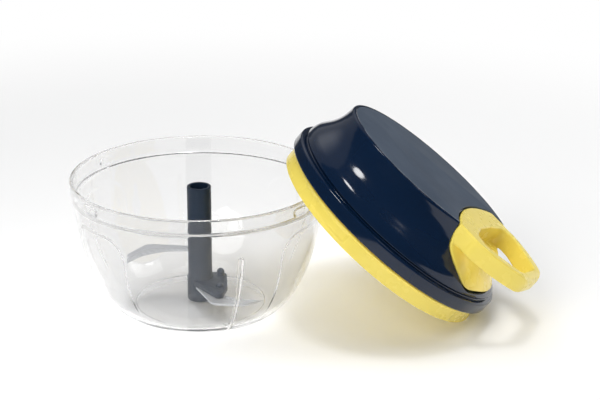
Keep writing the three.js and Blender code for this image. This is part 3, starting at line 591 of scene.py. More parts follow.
class Nodes:
    """A material's node tree, with short ways to add and link its nodes."""

    def __init__(self, name):
        self.material = bpy.data.materials.new(name)
        self.material.use_nodes = True
        self.tree = self.material.node_tree
        self.shader = self.tree.nodes["Principled BSDF"]
        self.place = self.add("ShaderNodeTexCoord").outputs["Object"]

    def add(self, kind, **inputs):
        node = self.tree.nodes.new(kind)
        for key, value in inputs.items():
            node.inputs[key.replace("_", " ")].default_value = value
        return node

    def link(self, source, target):
        self.tree.links.new(source, target)

    def set(self, **values):
        for key, value in values.items():
            self.shader.inputs[key.replace("_", " ")].default_value = value

    def noise(self, scale, detail=3, roughness=0.5, stretch=(1, 1, 1)):
        mapping = self.add("ShaderNodeMapping", Scale=stretch)
        self.link(self.place, mapping.inputs["Vector"])
        node = self.add("ShaderNodeTexNoise", Scale=scale, Detail=detail, Roughness=roughness)
        self.link(mapping.outputs["Vector"], node.inputs["Vector"])
        return node.outputs["Fac"]

    def ramp(self, value, low, high, span=(0.3, 0.7)):
        node = self.add("ShaderNodeValToRGB")
        node.color_ramp.elements[0].position, node.color_ramp.elements[1].position = span
        node.color_ramp.elements[0].color = (*low, 1)
        node.color_ramp.elements[1].color = (*high, 1)
        self.link(value, node.inputs["Fac"])
        return node.outputs["Color"]

    def by_reach(self, near, far, low, high):
        """A value that eases from low to high between two distances from the piece's own origin."""
        reach = self.add("ShaderNodeVectorMath")
        reach.operation = "LENGTH"
        self.link(self.place, reach.inputs[0])
        node = self.add("ShaderNodeMapRange", From_Min=near * MM, From_Max=far * MM, To_Min=low, To_Max=high)
        node.interpolation_type = "SMOOTHSTEP"
        self.link(reach.outputs["Value"], node.inputs["Value"])
        return node.outputs["Result"]

    def reckoned(self, operation, *values):
        """Two values worked together, each a socket or a number."""
        node = self.add("ShaderNodeMath")
        node.operation = operation
        for value, target in zip(values, node.inputs):
            if isinstance(value, bpy.types.NodeSocket):
                self.link(value, target)
            else:
                target.default_value = value
        return node.outputs["Value"]

    def ends_in(self, surface):
        self.link(surface, self.tree.nodes["Material Output"].inputs["Surface"])

    def ends_mixed(self, share, first, second):
        """Ends the material in a mix of two shaders."""
        mix = self.add("ShaderNodeMixShader")
        self.link(share, mix.inputs["Fac"])
        self.link(first, mix.inputs[1])
        self.link(second, mix.inputs[2])
        self.ends_in(mix.outputs["Shader"])

    def bump(self, height, strength, distance):
        node = self.add("ShaderNodeBump", Strength=strength, Distance=distance * MM)
        self.link(height, node.inputs["Height"])
        self.link(node.outputs["Normal"], self.shader.inputs["Normal"])

    def colour(self, low, high, scale, detail=3, stretch=(1, 1, 1)):
        shade = self.ramp(self.noise(scale, detail, stretch=stretch), low, high)
        self.link(shade, self.shader.inputs["Base Color"])

    def roughness(self, low, high, scale, detail=3, stretch=(1, 1, 1)):
        value = self.noise(scale, detail, stretch=stretch)
        node = self.add("ShaderNodeMapRange", To_Min=low, To_Max=high)
        self.link(value, node.inputs["Value"])
        self.link(node.outputs["Result"], self.shader.inputs["Roughness"])


def linear(red, green, blue):
    """A colour given as it looks on screen, 0 to 255, in the linear values that shaders take."""
    values = []
    for c in (red, green, blue):
        values.append(c / 255 / 12.92 if c <= 10 else ((c / 255 + 0.055) / 1.055) ** 2.4)
    return tuple(values)


def clear_plastic():
    """Clear moulded plastic. Shadow rays, and rays caught inside it, pass straight on."""
    n = Nodes("clear_plastic")
    n.set(Base_Color=(*linear(247, 247, 247), 1), Transmission_Weight=1.0, IOR=1.49, Roughness=0.0)
    n.roughness(0.0, 0.03, 40)
    n.bump(n.noise(30, 1), 0.05, 0.4)
    clear = n.add("ShaderNodeBsdfTransparent", Color=(*linear(250, 250, 250), 1))
    path = n.add("ShaderNodeLightPath")
    caught = n.reckoned("GREATER_THAN", path.outputs["Ray Depth"], CAUGHT_AFTER)
    passed = n.reckoned("MAXIMUM", path.outputs["Is Shadow Ray"], caught)
    n.ends_mixed(passed, n.shader.outputs["BSDF"], clear.outputs["BSDF"])
    return n.material


def plastic(name, low, high, rough, grain, depth, specular=0.5):
    """Moulded plastic: a little drift in its colour and gloss, over a fine grain."""
    n = Nodes(name)
    n.set(IOR=1.5, Specular_IOR_Level=specular)
    n.colour(low, high, TONE_SCALE)
    n.roughness(rough[0], rough[1], GLOSS_SCALE)
    n.bump(n.noise(grain, 4, 0.6), 0.4, depth)
    return n.material


def steel(name, low, high, rough, stretch, metallic=1.0):
    """Rolled steel, with its grain drawn out one way."""
    n = Nodes(name)
    n.set(Metallic=metallic)
    n.colour(low, high, 300, 4, stretch)
    n.roughness(rough[0], rough[1], 500, 4, stretch)
    n.bump(n.noise(900, 3, stretch=stretch), 0.25, 0.02)
    return n.material


def braid():
    """Braided cord: crossing strands as bands of a wave, darker in the grooves between strands as painted
    shade, and soft fibre.
    """
    n = Nodes("cord_braid")
    n.set(Roughness=0.85, Sheen_Weight=0.3)
    wave = n.add("ShaderNodeTexWave", Scale=220, Distortion=3, Detail=2)
    n.link(n.place, wave.inputs["Vector"])
    # Painted shade: the same wave drives the colour and the bump, so the colour darkens in the grooves
    # between strands.
    shade = n.ramp(wave.outputs["Fac"], linear(214, 211, 200), linear(244, 242, 234), (0.2, 0.8))
    n.link(shade, n.shader.inputs["Base Color"])
    n.bump(wave.outputs["Fac"], 0.8, 0.15)
    return n.material


CLEAR = clear_plastic()
NAVY = plastic("navy_gloss", linear(5, 25, 49), linear(6, 27, 52), (0.09, 0.13), 160, 0.002)
SLATE = plastic("slate_matte", linear(70, 81, 96), linear(79, 90, 105), (0.5, 0.62), 2600, 0.04, 0.4)
SATIN = plastic("navy_satin", linear(20, 34, 50), linear(24, 39, 56), (0.3, 0.4), 1500, 0.01, 0.35)
YELLOW = plastic("yellow_gloss", linear(245, 222, 100), linear(247, 225, 105), (0.24, 0.3), 220, 0.002)
ACETAL = plastic("acetal", linear(206, 209, 212), linear(222, 224, 226), (0.35, 0.5), 1200, 0.03)
NYLON = plastic("nylon", linear(228, 225, 215), linear(238, 236, 228), (0.4, 0.55), 1200, 0.03)
STEEL = steel("steel", linear(158, 162, 168), linear(182, 186, 191), (0.28, 0.4), (1, 14, 1))
BLADE = steel("blade_steel", linear(201, 203, 207), linear(209, 211, 215), (0.3, 0.42), (1, 14, 1), 0.55)
GROUND = steel("ground_edge", linear(206, 208, 212), linear(216, 218, 221), (0.22, 0.32), (12, 1, 1), 0.55)
SPRING = steel("spring_steel", linear(120, 124, 132), linear(150, 154, 160), (0.25, 0.4), (1, 1, 14))
CORD = braid()


# Bowl


def bowl_side(t):
    """The wall's outside and its outward direction, for t from 0 at the foot to 1 at the band."""
    points = [
        Vector((BASE_RADIUS, FOOT_LIFT)),
        Vector((BASE_RADIUS + BASE_TURN, FOOT_LIFT)),
        Vector((BODY_RADIUS - SIDE_LEAN, BAND_FOOT - SIDE_FULLNESS)),
        Vector((BODY_RADIUS, BAND_FOOT)),
    ]
    u = 1 - t
    at = points[0] * u**3 + points[1] * 3 * u * u * t + points[2] * 3 * u * t * t + points[3] * t**3
    along = (points[1] - points[0]) * u * u + (points[2] - points[1]) * 2 * u * t
    along += (points[3] - points[2]) * t * t
    along.normalize()
    return at, Vector((along.y, -along.x))


def turn_between(a, b):
    """The signed angle from b to a, in degrees."""
    return (a - b + 180) % 360 - 180


def nearest_turn(azimuth, centres):
    """The signed angle to an azimuth from the nearest of some centres, in degrees."""
    return min((turn_between(azimuth, centre) for centre in centres), key=abs)


def panel_distance(azimuth, radius, height):
    """How far a point on the wall lies outside the nearest panel's outline, negative inside it."""
    across = abs(radius * math.sin(math.radians(nearest_turn(azimuth, PANEL_AZIMUTHS))))
    half = PANEL_FOOT_HALF + (PANEL_TOP_HALF - PANEL_FOOT_HALF) * height / PANEL_TOP
    dx = across - half + PANEL_CORNER
    dz = height - PANEL_TOP + PANEL_CORNER
    return math.hypot(max(dx, 0), max(dz, 0)) - PANEL_CORNER + min(max(dx, dz), 0)


def rib_distance(azimuth, radius, height):
    """How far a point on the wall lies outside the nearest rib, which narrows towards its foot."""
    turn = nearest_turn(azimuth, RIB_AZIMUTHS)
    across = radius if abs(turn) > 90 else abs(radius * math.sin(math.radians(turn)))
    half = RIB_HALF * (RIB_FOOT_SHARE + (1 - RIB_FOOT_SHARE) * min(height / RIB_TOP, 1))
    return max(across - half, height + across - RIB_TOP)


def lug_distance(azimuth, radius, height):
    """How far a point on the band's inside lies outside the nearest lug, whose ends are round."""
    across = abs(radius * math.radians(nearest_turn(azimuth, LUG_AZIMUTHS)))
    round_end = LUG_HEIGHT / 2
    dx = max(across - LUG_WIDTH / 2 + round_end, 0)
    return math.hypot(dx, height - BAND_FOOT - BAND_HEIGHT / 2) - round_end


def wall_relief(azimuth, radius, height):
    """How far the wall's inside stands in at a point, for its panels and ribs."""
    start, end = PANEL_FADE
    rise = smooth((height - start) / (end - start))
    panel = PANEL_RELIEF * rise * fade(panel_distance(azimuth, radius, height), PANEL_EDGE)
    rib = RIB_RELIEF * fade(rib_distance(azimuth, radius, height), RIB_EDGE)
    return max(panel, rib)


def bowl_azimuths():
    """Even steps round the bowl, with finer ones where the narrow ribs stand."""
    even = [360 * i / BOWL_STEPS - 180 for i in range(BOWL_STEPS)]
    fine = []
    span = RIB_FINE_ANGLE * RIB_FINE_STEPS
    for centre in RIB_AZIMUTHS:
        even = [a for a in even if abs(turn_between(a, centre)) > span]
        for k in range(-RIB_FINE_STEPS, RIB_FINE_STEPS + 1):
            fine.append(turn_between(centre + k * RIB_FINE_ANGLE, 0))
    return sorted(even + fine)


def fillet_point(point, out, share):
    """A point on the curve that carries the wall down into the flat floor."""
    x, y, z = point
    radius = math.hypot(x, y)
    drop = z - BOWL_FLOOR
    corner = radius + drop * out.y / out.x
    at = Vector((radius, z)).lerp(Vector((corner, BOWL_FLOOR)), share)
    end = Vector((corner, BOWL_FLOOR)).lerp(Vector((FLOOR_FLAT, BOWL_FLOOR)), share)
    new_radius, height = at.lerp(end, share)
    return x * new_radius / radius, y * new_radius / radius, height


def bowl_ring(azimuths, place):
    """A ring of the bowl, at the radius and height that place gives for each azimuth."""
    points = []
    for azimuth in azimuths:
        radius, height = place(azimuth)
        angle = math.radians(azimuth)
        points.append((radius * math.cos(angle), radius * math.sin(angle), height))
    return points


def wall_inside(t):
    """The inside of the wall, with its relief, as a function of the azimuth."""
    at, out = bowl_side(t)

    def place(azimuth):
        point = at - out * (BOWL_WALL + wall_relief(azimuth, at.x, at.y))
        return point.x, max(point.y, BOWL_FLOOR)

    return place


def band_inside(height):
    """The inside of the rim band, with its ledge and lugs, as a function of the azimuth."""
    share = (height - BAND_FOOT) / (BAND_HEIGHT - LIP_RADIUS)
    radius = BAND_INNER - BAND_DRAFT * (1 - share)
    radius -= BAND_STEP * (1 - smooth((height - BAND_FOOT) / LEDGE_RUN))

    def place(azimuth):
        return radius - LUG_REACH * fade(lug_distance(azimuth, radius, height), LUG_EDGE), height

    return place


def foot_profile():
    """The underside: its recess, and the ring that the bowl stands on."""
    inner = BASE_RADIUS - FOOT_RING
    run_share, height_share = FOOT_SLOPE_SHARES
    return [
        *[(inner * share, FOOT_RECESS) for share in FOOT_SHARES],
        (inner - FOOT_RECESS, FOOT_RECESS),
        (inner - FOOT_RECESS * run_share, FOOT_RECESS * height_share),
        (inner, FOOT_LIFT),
        ((inner + BASE_RADIUS) / 2, FOOT_LIFT),
    ]


def band_profile():
    """The outside of the rim band: its step, its side and its lip."""
    step = RIM_RADIUS - BAND_DRAFT
    across_share, up_share = STEP_CORNER_SHARES
    lip = BOWL_HEIGHT - LIP_RADIUS
    points = [
        (BODY_RADIUS + STEP_START, BAND_FOOT + STEP_LIFT),
        (step - STEP_ROUND, BAND_FOOT + STEP_LIFT),
        (step - STEP_ROUND * across_share, BAND_FOOT + STEP_ROUND * up_share),
        (step, BAND_FOOT + STEP_ROUND),
        ((step + RIM_RADIUS) / 2, (BAND_FOOT + BOWL_HEIGHT) / 2),
    ]
    points += arc((RIM_RADIUS - LIP_RADIUS, lip), LIP_RADIUS, 0, 90, 6)
    points += arc((BAND_INNER + LIP_RADIUS, lip), LIP_RADIUS, 90, 180, 6)
    return points


def bowl():
    azimuths = bowl_azimuths()

    def even(profile):
        return [bowl_ring(azimuths, lambda azimuth, point=point: point) for point in profile]

    side = [bowl_side(i / SIDE_ROWS)[0] for i in range(SIDE_ROWS + 1)]
    rings = [[(0, 0, FOOT_RECESS)], *even(foot_profile()), *even(side), *even(band_profile())]
    top = BOWL_HEIGHT - LIP_RADIUS - LIP_DROP
    for i in range(BAND_ROWS):
        rings.append(bowl_ring(azimuths, band_inside(top - (top - BAND_FOOT) * i / BAND_ROWS)))
    for i in range(WALL_ROWS + 1):
        rings.append(bowl_ring(azimuths, wall_inside(1 - (1 - FILLET_START) * i / WALL_ROWS)))
    wall_end = rings[-1]
    _, out = bowl_side(FILLET_START)
    for k in range(1, FILLET_ROWS + 1):
        rings.append([fillet_point(point, out, k / FILLET_ROWS) for point in wall_end])
    floor_radii = (FLOOR_FLAT / 2, SOCKET_RADIUS + SOCKET_RIM, SOCKET_RADIUS)
    socket_floor = BOWL_FLOOR - SOCKET_DEPTH
    rings += even([*[(radius, BOWL_FLOOR) for radius in floor_radii], (SOCKET_RADIUS, socket_floor)])
    rings.append([(0, 0, socket_floor)])
    obj = made("bowl_clear", *skinned(rings))
    finished(shaded(obj), CLEAR, "bowl", "bowl")


# Blade unit


def blade_rings(height, azimuth):
    """Sections along a blade, from its back to its ground edge."""
    back = [(x * BLADE_REACH, y * BLADE_REACH) for x, y in BACK_SHARES]
    edge = [(x * BLADE_REACH, y * BLADE_REACH) for x, y in EDGE_SHARES]
    rings = []
    co, si = math.cos(math.radians(azimuth)), math.sin(math.radians(azimuth))
    top = height + BLADE_THICKNESS
    thin = (BLADE_THICKNESS - BLADE_EDGE) / 2
    for i in range(BLADE_ROWS + 1):
        b, e = Vector(catmull(back, i / BLADE_ROWS)), Vector(catmull(edge, i / BLADE_ROWS))
        m = b.lerp(e, BLADE_RIDGE)
        section = [(b, height), (m, height), (e, height + thin), (e, top - thin), (m, top), (b, top)]
        rings.append([(p.x * co - p.y * si, p.x * si + p.y * co, z) for p, z in section])
    return rings


def blade(name, height, azimuth, node, has_tang=False):
    """A blade with its ground edge; the lower one has a tang that the pins hold under the holder."""
    obj = lofted(name, blade_rings(height, azimuth))
    if has_tang:
        joined(obj, prism("tang", holder_outline(TANG_SHARE), height, height + BLADE_THICKNESS))
        cut(obj, turned("hub_room", rod_profile(HUB_RADIUS + SEAT_GAP, UNIT_FOOT, HOLDER_FOOT)))
        for x, y in rivet_places():
            cut(obj, rivet_hole(x, y))
    softened(obj, BLADE_ROUND, 1)
    shaded(obj, BLADE_SHARP)
    finished(obj, [BLADE, GROUND], "blade_unit", node)
    least, most = GROUND_TILT
    for polygon in obj.data.polygons:
        polygon.material_index = 1 if least < abs(polygon.normal.z) < most else 0


def holder_outline(share):
    corners = [(x * HOLDER_REACH * share, y * HOLDER_REACH * share) for x, y in HOLDER_SHARES]
    return rounded(corners, [HOLDER_CORNER] * len(corners))


def rivet_places():
    return [(x * HOLDER_REACH, y * HOLDER_REACH) for x, y in RIVET_SHARES]


def rivet_hole(x, y):
    place = Matrix.Translation((x * MM, y * MM, 0))
    return turned("rivet_hole", rod_profile(RIVET_RADIUS + SEAT_GAP, 0, SHAFT_TOP), HOLE_STEPS, place)


def bore_ring(height):
    """A ring of the shaft's bore, with the ridges that the lid's stub drives."""

    def radius(angle):
        near = abs((angle * SPLINE_COUNT / TURN + 0.5) % 1 - 0.5) * TURN / SPLINE_COUNT * BORE_RADIUS
        return BORE_RADIUS - math.sqrt(max(SPLINE_RADIUS**2 - near**2, 0))

    return shaped_ring(height, radius, SMALL_STEPS * 2)


def upper_slot():
    """The slot in the shaft that the upper blade's root sits in."""
    height, azimuth = UPPER_BLADE
    start = BACK_SHARES[0][0] * BLADE_REACH - SEAT_GAP
    back_side = BACK_SHARES[2][1] * BLADE_REACH
    edge_side = EDGE_SHARES[1][1] * BLADE_REACH + SEAT_GAP
    far = HUB_RADIUS + OVERRUN
    outline = [(start, back_side), (far, back_side), (far, edge_side), (start, edge_side)]
    turn = Matrix.Rotation(math.radians(azimuth), 4, "Z")
    return prism("slot", outline, height - SEAT_GAP / 2, height + BLADE_THICKNESS + SEAT_GAP / 2, turn)


def shaft():
    hub_top = UNIT_FOOT + HUB_HEIGHT
    foot = EDGE_ROUND * 2
    top = SHAFT_TOP - EDGE_ROUND
    profile = [(0, UNIT_FOOT), *arc((HUB_RADIUS - foot, UNIT_FOOT + foot), foot, -90, 0, 5)]
    profile += [(HUB_RADIUS, hub_top), (SHAFT_RADIUS, hub_top + HUB_TAPER)]
    profile += arc((SHAFT_RADIUS - EDGE_ROUND, top), EDGE_ROUND, 0, 90, 4)
    profile += arc((BORE_RADIUS + EDGE_ROUND, top), EDGE_ROUND, 90, 180, 4)
    ridges_top = SHAFT_TOP - SPLINE_START
    bore_foot = SHAFT_TOP - BORE_DEPTH
    profile.append((BORE_RADIUS, ridges_top + SPLINE_LEAD))
    rings = [turned_ring(r, z, SMALL_STEPS * 2) for r, z in profile]
    rings += [bore_ring(ridges_top), bore_ring(bore_foot), [(0, 0, bore_foot)]]
    obj = made("shaft_moulding", *skinned(rings))
    joined(obj, prism("holder", holder_outline(1), HOLDER_FOOT, HOLDER_FOOT + HOLDER_THICKNESS))
    cut(obj, turned("bush_room", rod_profile(BUSH_RADIUS + SEAT_GAP, 0, BUSH_TOP + SEAT_GAP)))
    for x, y in rivet_places():
        cut(obj, rivet_hole(x, y))
    cut(obj, upper_slot())
    softened(obj, SHAFT_EDGE, 2)
    finished(shaded(obj), SATIN, "blade_unit", "blade_shaft")


def rivets():
    """The holder's two round-topped pins; the first has a tall knob."""
    head_foot = HOLDER_FOOT + HOLDER_THICKNESS + RIVET_GAP
    tail = LOWER_BLADE[0] - RIVET_GAP
    tail_foot = tail - RIVET_HEAD_HEIGHT
    for i, (x, y) in enumerate(rivet_places()):
        head_top = head_foot + SEAT_GAP + (KNOB_HEIGHT if i == 0 else RIVET_HEAD_HEIGHT)
        crown = min(RIVET_HEAD, head_top - head_foot) * CROWN_SHARE
        profile = [
            (0, tail_foot),
            (RIVET_HEAD - RIVET_EDGE, tail_foot),
            (RIVET_HEAD, tail_foot + RIVET_EDGE),
            (RIVET_HEAD, tail),
            (RIVET_RADIUS, tail),
            (RIVET_RADIUS, head_foot),
            (RIVET_HEAD, head_foot),
        ]
        for k in range(CROWN_ROWS):
            angle = math.pi / 2 * k / CROWN_ROWS
            profile.append((RIVET_HEAD * math.cos(angle), head_top - crown + crown * math.sin(angle)))
        profile.append((0, head_top))
        obj = turned(f"holder_pin_{i + 1}", profile, PIN_STEPS, Matrix.Translation((x * MM, y * MM, 0)))
        finished(shaded(obj), SATIN, "blade_unit", f"blade_rivet_{i + 1}")


# Lid


def top_radius(angle, inset=0):
    """Radius of the lid's top outline, an ellipse set off its axis."""
    co, si = math.cos(angle), math.sin(angle)
    a = (co / TOP_LENGTH) ** 2 + (si / TOP_WIDTH) ** 2
    b = -2 * TOP_OFFSET * co / TOP_LENGTH**2
    c = (TOP_OFFSET / TOP_LENGTH) ** 2 - 1
    return (-b + math.sqrt(b * b - 4 * a * c)) / (2 * a) - inset


def top_ring(height, inset):
    return shaped_ring(height, lambda angle: top_radius(angle, inset))


def downhill(angle):
    """How far a direction counts as downhill, where the dome runs in more straightly."""
    return smooth((math.cos(angle) - DOWNHILL_START) / DOWNHILL_SPREAD)


def dome_ring(height, inset=0):
    share = (height - DOME_FOOT) / (LID_HEIGHT - DOME_FOOT)
    uphill_blend, downhill_blend = eased(UPHILL_SHARES, share), eased(DOWNHILL_SHARES, share)

    def radius(angle):
        blend = uphill_blend + (downhill_blend - uphill_blend) * downhill(angle)
        return DOME_RADIUS - (DOME_RADIUS - top_radius(angle)) * blend - inset

    return shaped_ring(height, radius)


def dome_rings(foot, top, rows):
    return [dome_ring(foot + (top - foot) * i / rows) for i in range(rows + 1)]


def housing_outside():
    """The band, the groove with its two fine lips, and the dome."""
    foot = RING_HEIGHT + BAND_GAP
    groove = GROOVE_HEIGHT / 2
    profile = arc((BAND_RADIUS - FOOT_EDGE, foot + FOOT_EDGE), FOOT_EDGE, -90, 0, 6)
    profile += arc((BAND_RADIUS - BAND_EDGE, BAND_TOP - BAND_EDGE), BAND_EDGE, 0, 90, 9)
    profile += arc((DOME_RADIUS - GROOVE_DEPTH + groove, BAND_TOP + groove), groove, 270, 90, 10)
    profile += arc((DOME_RADIUS - LIP_EDGE, DOME_FOOT + LIP_EDGE), LIP_EDGE, -90, 0, 6)
    rings = [turned_ring(r, z, ROUND_STEPS) for r, z in profile]
    top = LID_HEIGHT - TOP_EDGE
    rings += dome_rings(DOME_FOOT + LIP_EDGE + LIP_RISE, top, DOME_SKIN_ROWS)
    for k in range(1, TOP_EDGE_ROWS + 1):
        angle = math.pi / 2 * k / TOP_EDGE_ROWS
        rings.append(top_ring(top + TOP_EDGE * math.sin(angle), TOP_EDGE * (1 - math.cos(angle))))
    return lofted("housing_shell", rings)


def plug_block(name, grow):
    """The handle's plug in its own direction, grown all round by a clearance."""
    half, foot, far = PLUG_HALF + grow, PLUG_FOOT - grow, LOOP_REACH + OVERRUN
    corner = PLUG_CORNER + grow
    over = LID_HEIGHT + OVERRUN
    front = rounded([(-half, foot), (half, foot), (half, over), (-half, over)], [corner, corner, 0, 0], 16)
    block = lofted(name, [[(a, y, z) for y, z in front] for a in (0, far)])
    radius = PLUG_BACK_RADIUS + grow
    centre = PLUG_BACK + math.sqrt(PLUG_BACK_RADIUS**2 - PLUG_BACK_SHIFT**2)
    corner = PLUG_BACK_CORNER + grow

    def plan(height, draft):
        def back(y):
            return centre - draft - math.sqrt(radius**2 - (y - PLUG_BACK_SHIFT) ** 2), y

        inner = half - PLUG_BACK_CORNER
        curve = [back(inner - 2 * inner * i / 40) for i in range(41)]
        outline = [(far + OVERRUN, half), back(half), *curve, back(-half), (far + OVERRUN, -half)]
        outline = rounded(outline, [0, corner, *[0] * 41, corner, 0], 8)
        return [(x, y, height) for x, y in outline]

    start, draft = PLUG_BACK_DRAFT
    top = over + OVERRUN
    lean = draft / (LID_HEIGHT - start) * (top - start)
    return kept_inside(block, lofted("plan", [plan(0, 0), plan(start, 0), plan(top, lean)]))


def turned_to_handle(obj):
    obj.data.transform(Matrix.Rotation(HANDLE_AZIMUTH, 4, "Z"))
    return obj


def along_pull(name, radius, start, end):
    """A rod whose axis is the cord's line."""
    place = Matrix.Translation((0, 0, CORD_HEIGHT * MM)) @ Matrix.Rotation(math.pi / 2, 4, "Y")
    return turned(name, rod_profile(radius, start, end), HOLE_STEPS, place)


def cavity():
    """The hollow of the housing, a wall's thickness inside its skin."""
    outer = BAND_RADIUS - HOUSING_WALL
    inner = DOME_RADIUS - GROOVE_DEPTH - HOUSING_WALL
    profile = [
        (outer, RING_HEIGHT - OVERRUN),
        (outer, PLATE_TOP + SEAT_GAP),
        (inner, PLATE_TOP + HOUSING_WALL),
        (inner, DOME_FOOT + CAVITY_STEP),
    ]
    rings = [turned_ring(r, z, ROUND_STEPS) for r, z in profile]
    rings += [dome_ring(height, HOUSING_WALL) for height in (*CAVITY_HEIGHTS, CAVITY_TOP)]
    return lofted("cavity", rings)


def pad_outline(margin):
    return [(x, y) for x, y, _ in top_ring(0, margin)]


def housing():
    obj = housing_outside()
    hollow = cut(cavity(), turned_to_handle(plug_block("pocket_outside", POCKET_GAP + POCKET_WALL)))
    cut(obj, hollow, turned_to_handle(plug_block("pocket", POCKET_GAP)))
    cut(obj, prism("pad_room", pad_outline(PAD_MARGIN), PAD_SEAT, LID_HEIGHT + OVERRUN))
    cut(obj, turned_to_handle(along_pull("eyelet_room", EYELET_RADIUS, 0, LOOP_SHOULDER)))
    softened(obj, HOUSING_EDGE, 2)
    obj.data.transform(LID)
    finished(shaded(obj), NAVY, "lid", "housing")


def top_pad():
    obj = prism("top_face", pad_outline(PAD_MARGIN + PAD_GAP), PAD_SEAT + SEAT_GAP, LID_HEIGHT - PAD_DROP)
    cut(obj, turned_to_handle(plug_block("pad_cut", POCKET_GAP + PAD_GAP)))
    softened(obj, PAD_EDGE, 3)
    obj.data.transform(LID)
    finished(shaded(obj), SLATE, "lid", "top_pad")


def channel_distance(angle, height):
    """How far a point of the ring's outer face lies outside the nearest bayonet channel."""
    above = height - RING_HEIGHT / 2
    half_height = LUG_HEIGHT / 2 + SEAT_GAP
    half_width = LUG_WIDTH / 2 + SEAT_GAP
    run = RING_RADIUS * math.radians(CHANNEL_RUN)
    distances = []
    for azimuth in CHANNEL_AZIMUTHS:
        along = RING_RADIUS * math.radians(turn_between(math.degrees(angle), azimuth))
        distances.append(max(abs(along) - half_width, above - half_height))
        distances.append(max(-half_width - along, along - run - half_width, abs(above) - half_height))
    return min(distances)


def channelled_ring(height):
    """A ring of the yellow ring's outer face, which the bayonet channels are sunk into."""

    def radius(angle):
        return RING_RADIUS - CHANNEL_DEPTH * fade(channel_distance(angle, height), CHANNEL_EDGE)

    return shaped_ring(height, radius, RING_STEPS)


def base_ring():
    inner = RING_RADIUS - RING_WALL
    plate = BAND_RADIUS - HOUSING_WALL - SEAT_GAP
    bore = BEARING_INNER + BEARING_WALL + SEAT_GAP
    boss = bore + BEARING_WALL
    boss_foot = PLATE_UNDER - BOSS_DROP
    lead_width, lead_height = RING_LEAD
    inside = [
        (bore, boss_foot),
        (boss - BOSS_EDGE, boss_foot),
        (boss, boss_foot + BOSS_EDGE),
        (boss, PLATE_UNDER - BOSS_FILLET),
        (boss + BOSS_FILLET, PLATE_UNDER),
        ((boss + inner) / 2, PLATE_UNDER),
        (inner - PLATE_FILLET, PLATE_UNDER),
        (inner, PLATE_UNDER - PLATE_FILLET),
        (inner, lead_height),
        *arc((inner + lead_width + LEAD_SHIFT, LEAD_ROUND), LEAD_ROUND, 200, 270, 2),
        (RING_RADIUS - RING_EDGE, 0),
    ]
    bead_inner = RING_RADIUS - RING_BEAD_STEP
    bead_top = RING_HEIGHT - RING_BEAD_DROP
    above = [
        *arc((RING_RADIUS, bead_top - RING_BEAD_STEP), RING_BEAD_STEP, -75, 90, 12),
        (bead_inner, bead_top),
        (bead_inner, RING_HEIGHT),
        (plate, RING_HEIGHT),
        (plate, PLATE_TOP),
        (bore, PLATE_TOP),
    ]
    rings = [turned_ring(r, z, RING_STEPS) for r, z in inside]
    face = RING_HEIGHT - RING_BEAD - RING_EDGE
    rings += [channelled_ring(RING_EDGE + face * i / RING_ROWS) for i in range(RING_ROWS + 1)]
    rings += [turned_ring(r, z, RING_STEPS) for r, z in above]
    obj = made("ring_and_plate", *skinned(rings, looped=True))
    for azimuth in SCREW_AZIMUTHS:
        turn = Matrix.Rotation(math.radians(azimuth), 4, "Z")
        place = turn @ Matrix.Translation((SCREW_CIRCLE * MM, 0, 0))
        hole = rod_profile(SCREW_HOLE, 0, PLATE_TOP + SCREW_OVERRUN)
        cut(obj, turned("screw_hole", hole, SCREW_STEPS, place))
    obj.data.transform(LID)
    finished(shaded(obj), YELLOW, "lid", "base_ring")


# Handle


def loop_plate():
    """The loop's plate: a shade wider on the far side of its end, which is rounded down."""
    path = [(x * LOOP_REACH, -y * LOOP_REACH) for x, y in LOOP_SHARES]
    for x, y in path[-2::-1]:
        path.append((x, LOOP_FAR_WIDENING * fade(abs(x - LOOP_FAR_PLACE), LOOP_FAR_RUN) - y))
    outline = [catmull(path, i / LOOP_STEPS) for i in range(LOOP_STEPS + 1)]
    foot = LID_HEIGHT - LOOP_THICKNESS
    plate = prism("loop_plate", outline, foot, LID_HEIGHT)
    side = [(0, foot), (0, LID_HEIGHT), (LOOP_REACH, LID_HEIGHT), (LOOP_REACH, foot)]
    side = rounded(side, [0, 0, LOOP_END_ROUND, LOOP_END_FOOT_ROUND], 12)
    wide = LOOP_HALF + OVERRUN
    return kept_inside(plate, lofted("loop_side", [[(a, y, z) for a, z in side] for y in (-wide, wide)]))


def finger_room():
    """The finger hole through the loop, which ends as a shallow seat in the top of the plug."""
    outline = rounded(FINGER_OUTLINE, FINGER_CORNERS, 12)
    return prism("opening", outline, LID_HEIGHT - LOOP_THICKNESS - SEAT_GAP, LID_HEIGHT + OVERRUN)


def handle():
    """The plug with its loop, the cord's way into it, and the room and assembly hole for the knot."""
    turn = Matrix.Rotation(-HANDLE_AZIMUTH, 4, "Z")
    dome = lofted("dome", dome_rings(DOME_FOOT, LID_HEIGHT, DOME_ROWS), turn)
    obj = kept_inside(plug_block("pull_handle", 0), dome)
    joined(obj, loop_plate())
    cut(obj, finger_room())
    cut(obj, along_pull("cord_hole", CORD_RADIUS + SEAT_GAP, 0, KNOT_SEAT + SEAT_GAP))
    room = KNOT_RADIUS + SEAT_GAP
    cut(obj, along_pull("knot_room", room, KNOT_SEAT, KNOT_SEAT + KNOT_LENGTH + SEAT_GAP * 2))
    place = Matrix.Translation(((KNOT_SEAT + KNOT_LENGTH / 2) * MM, 0, 0))
    cut(obj, turned("knot_way", rod_profile(room, 0, CORD_HEIGHT), HOLE_STEPS, place))
    evened(obj, HANDLE_GRAIN, HANDLE_PASSES)
    obj.data.transform(HANDLE)
    finished(shaded(obj, HANDLE_SHARP), YELLOW, "handle", "handle")


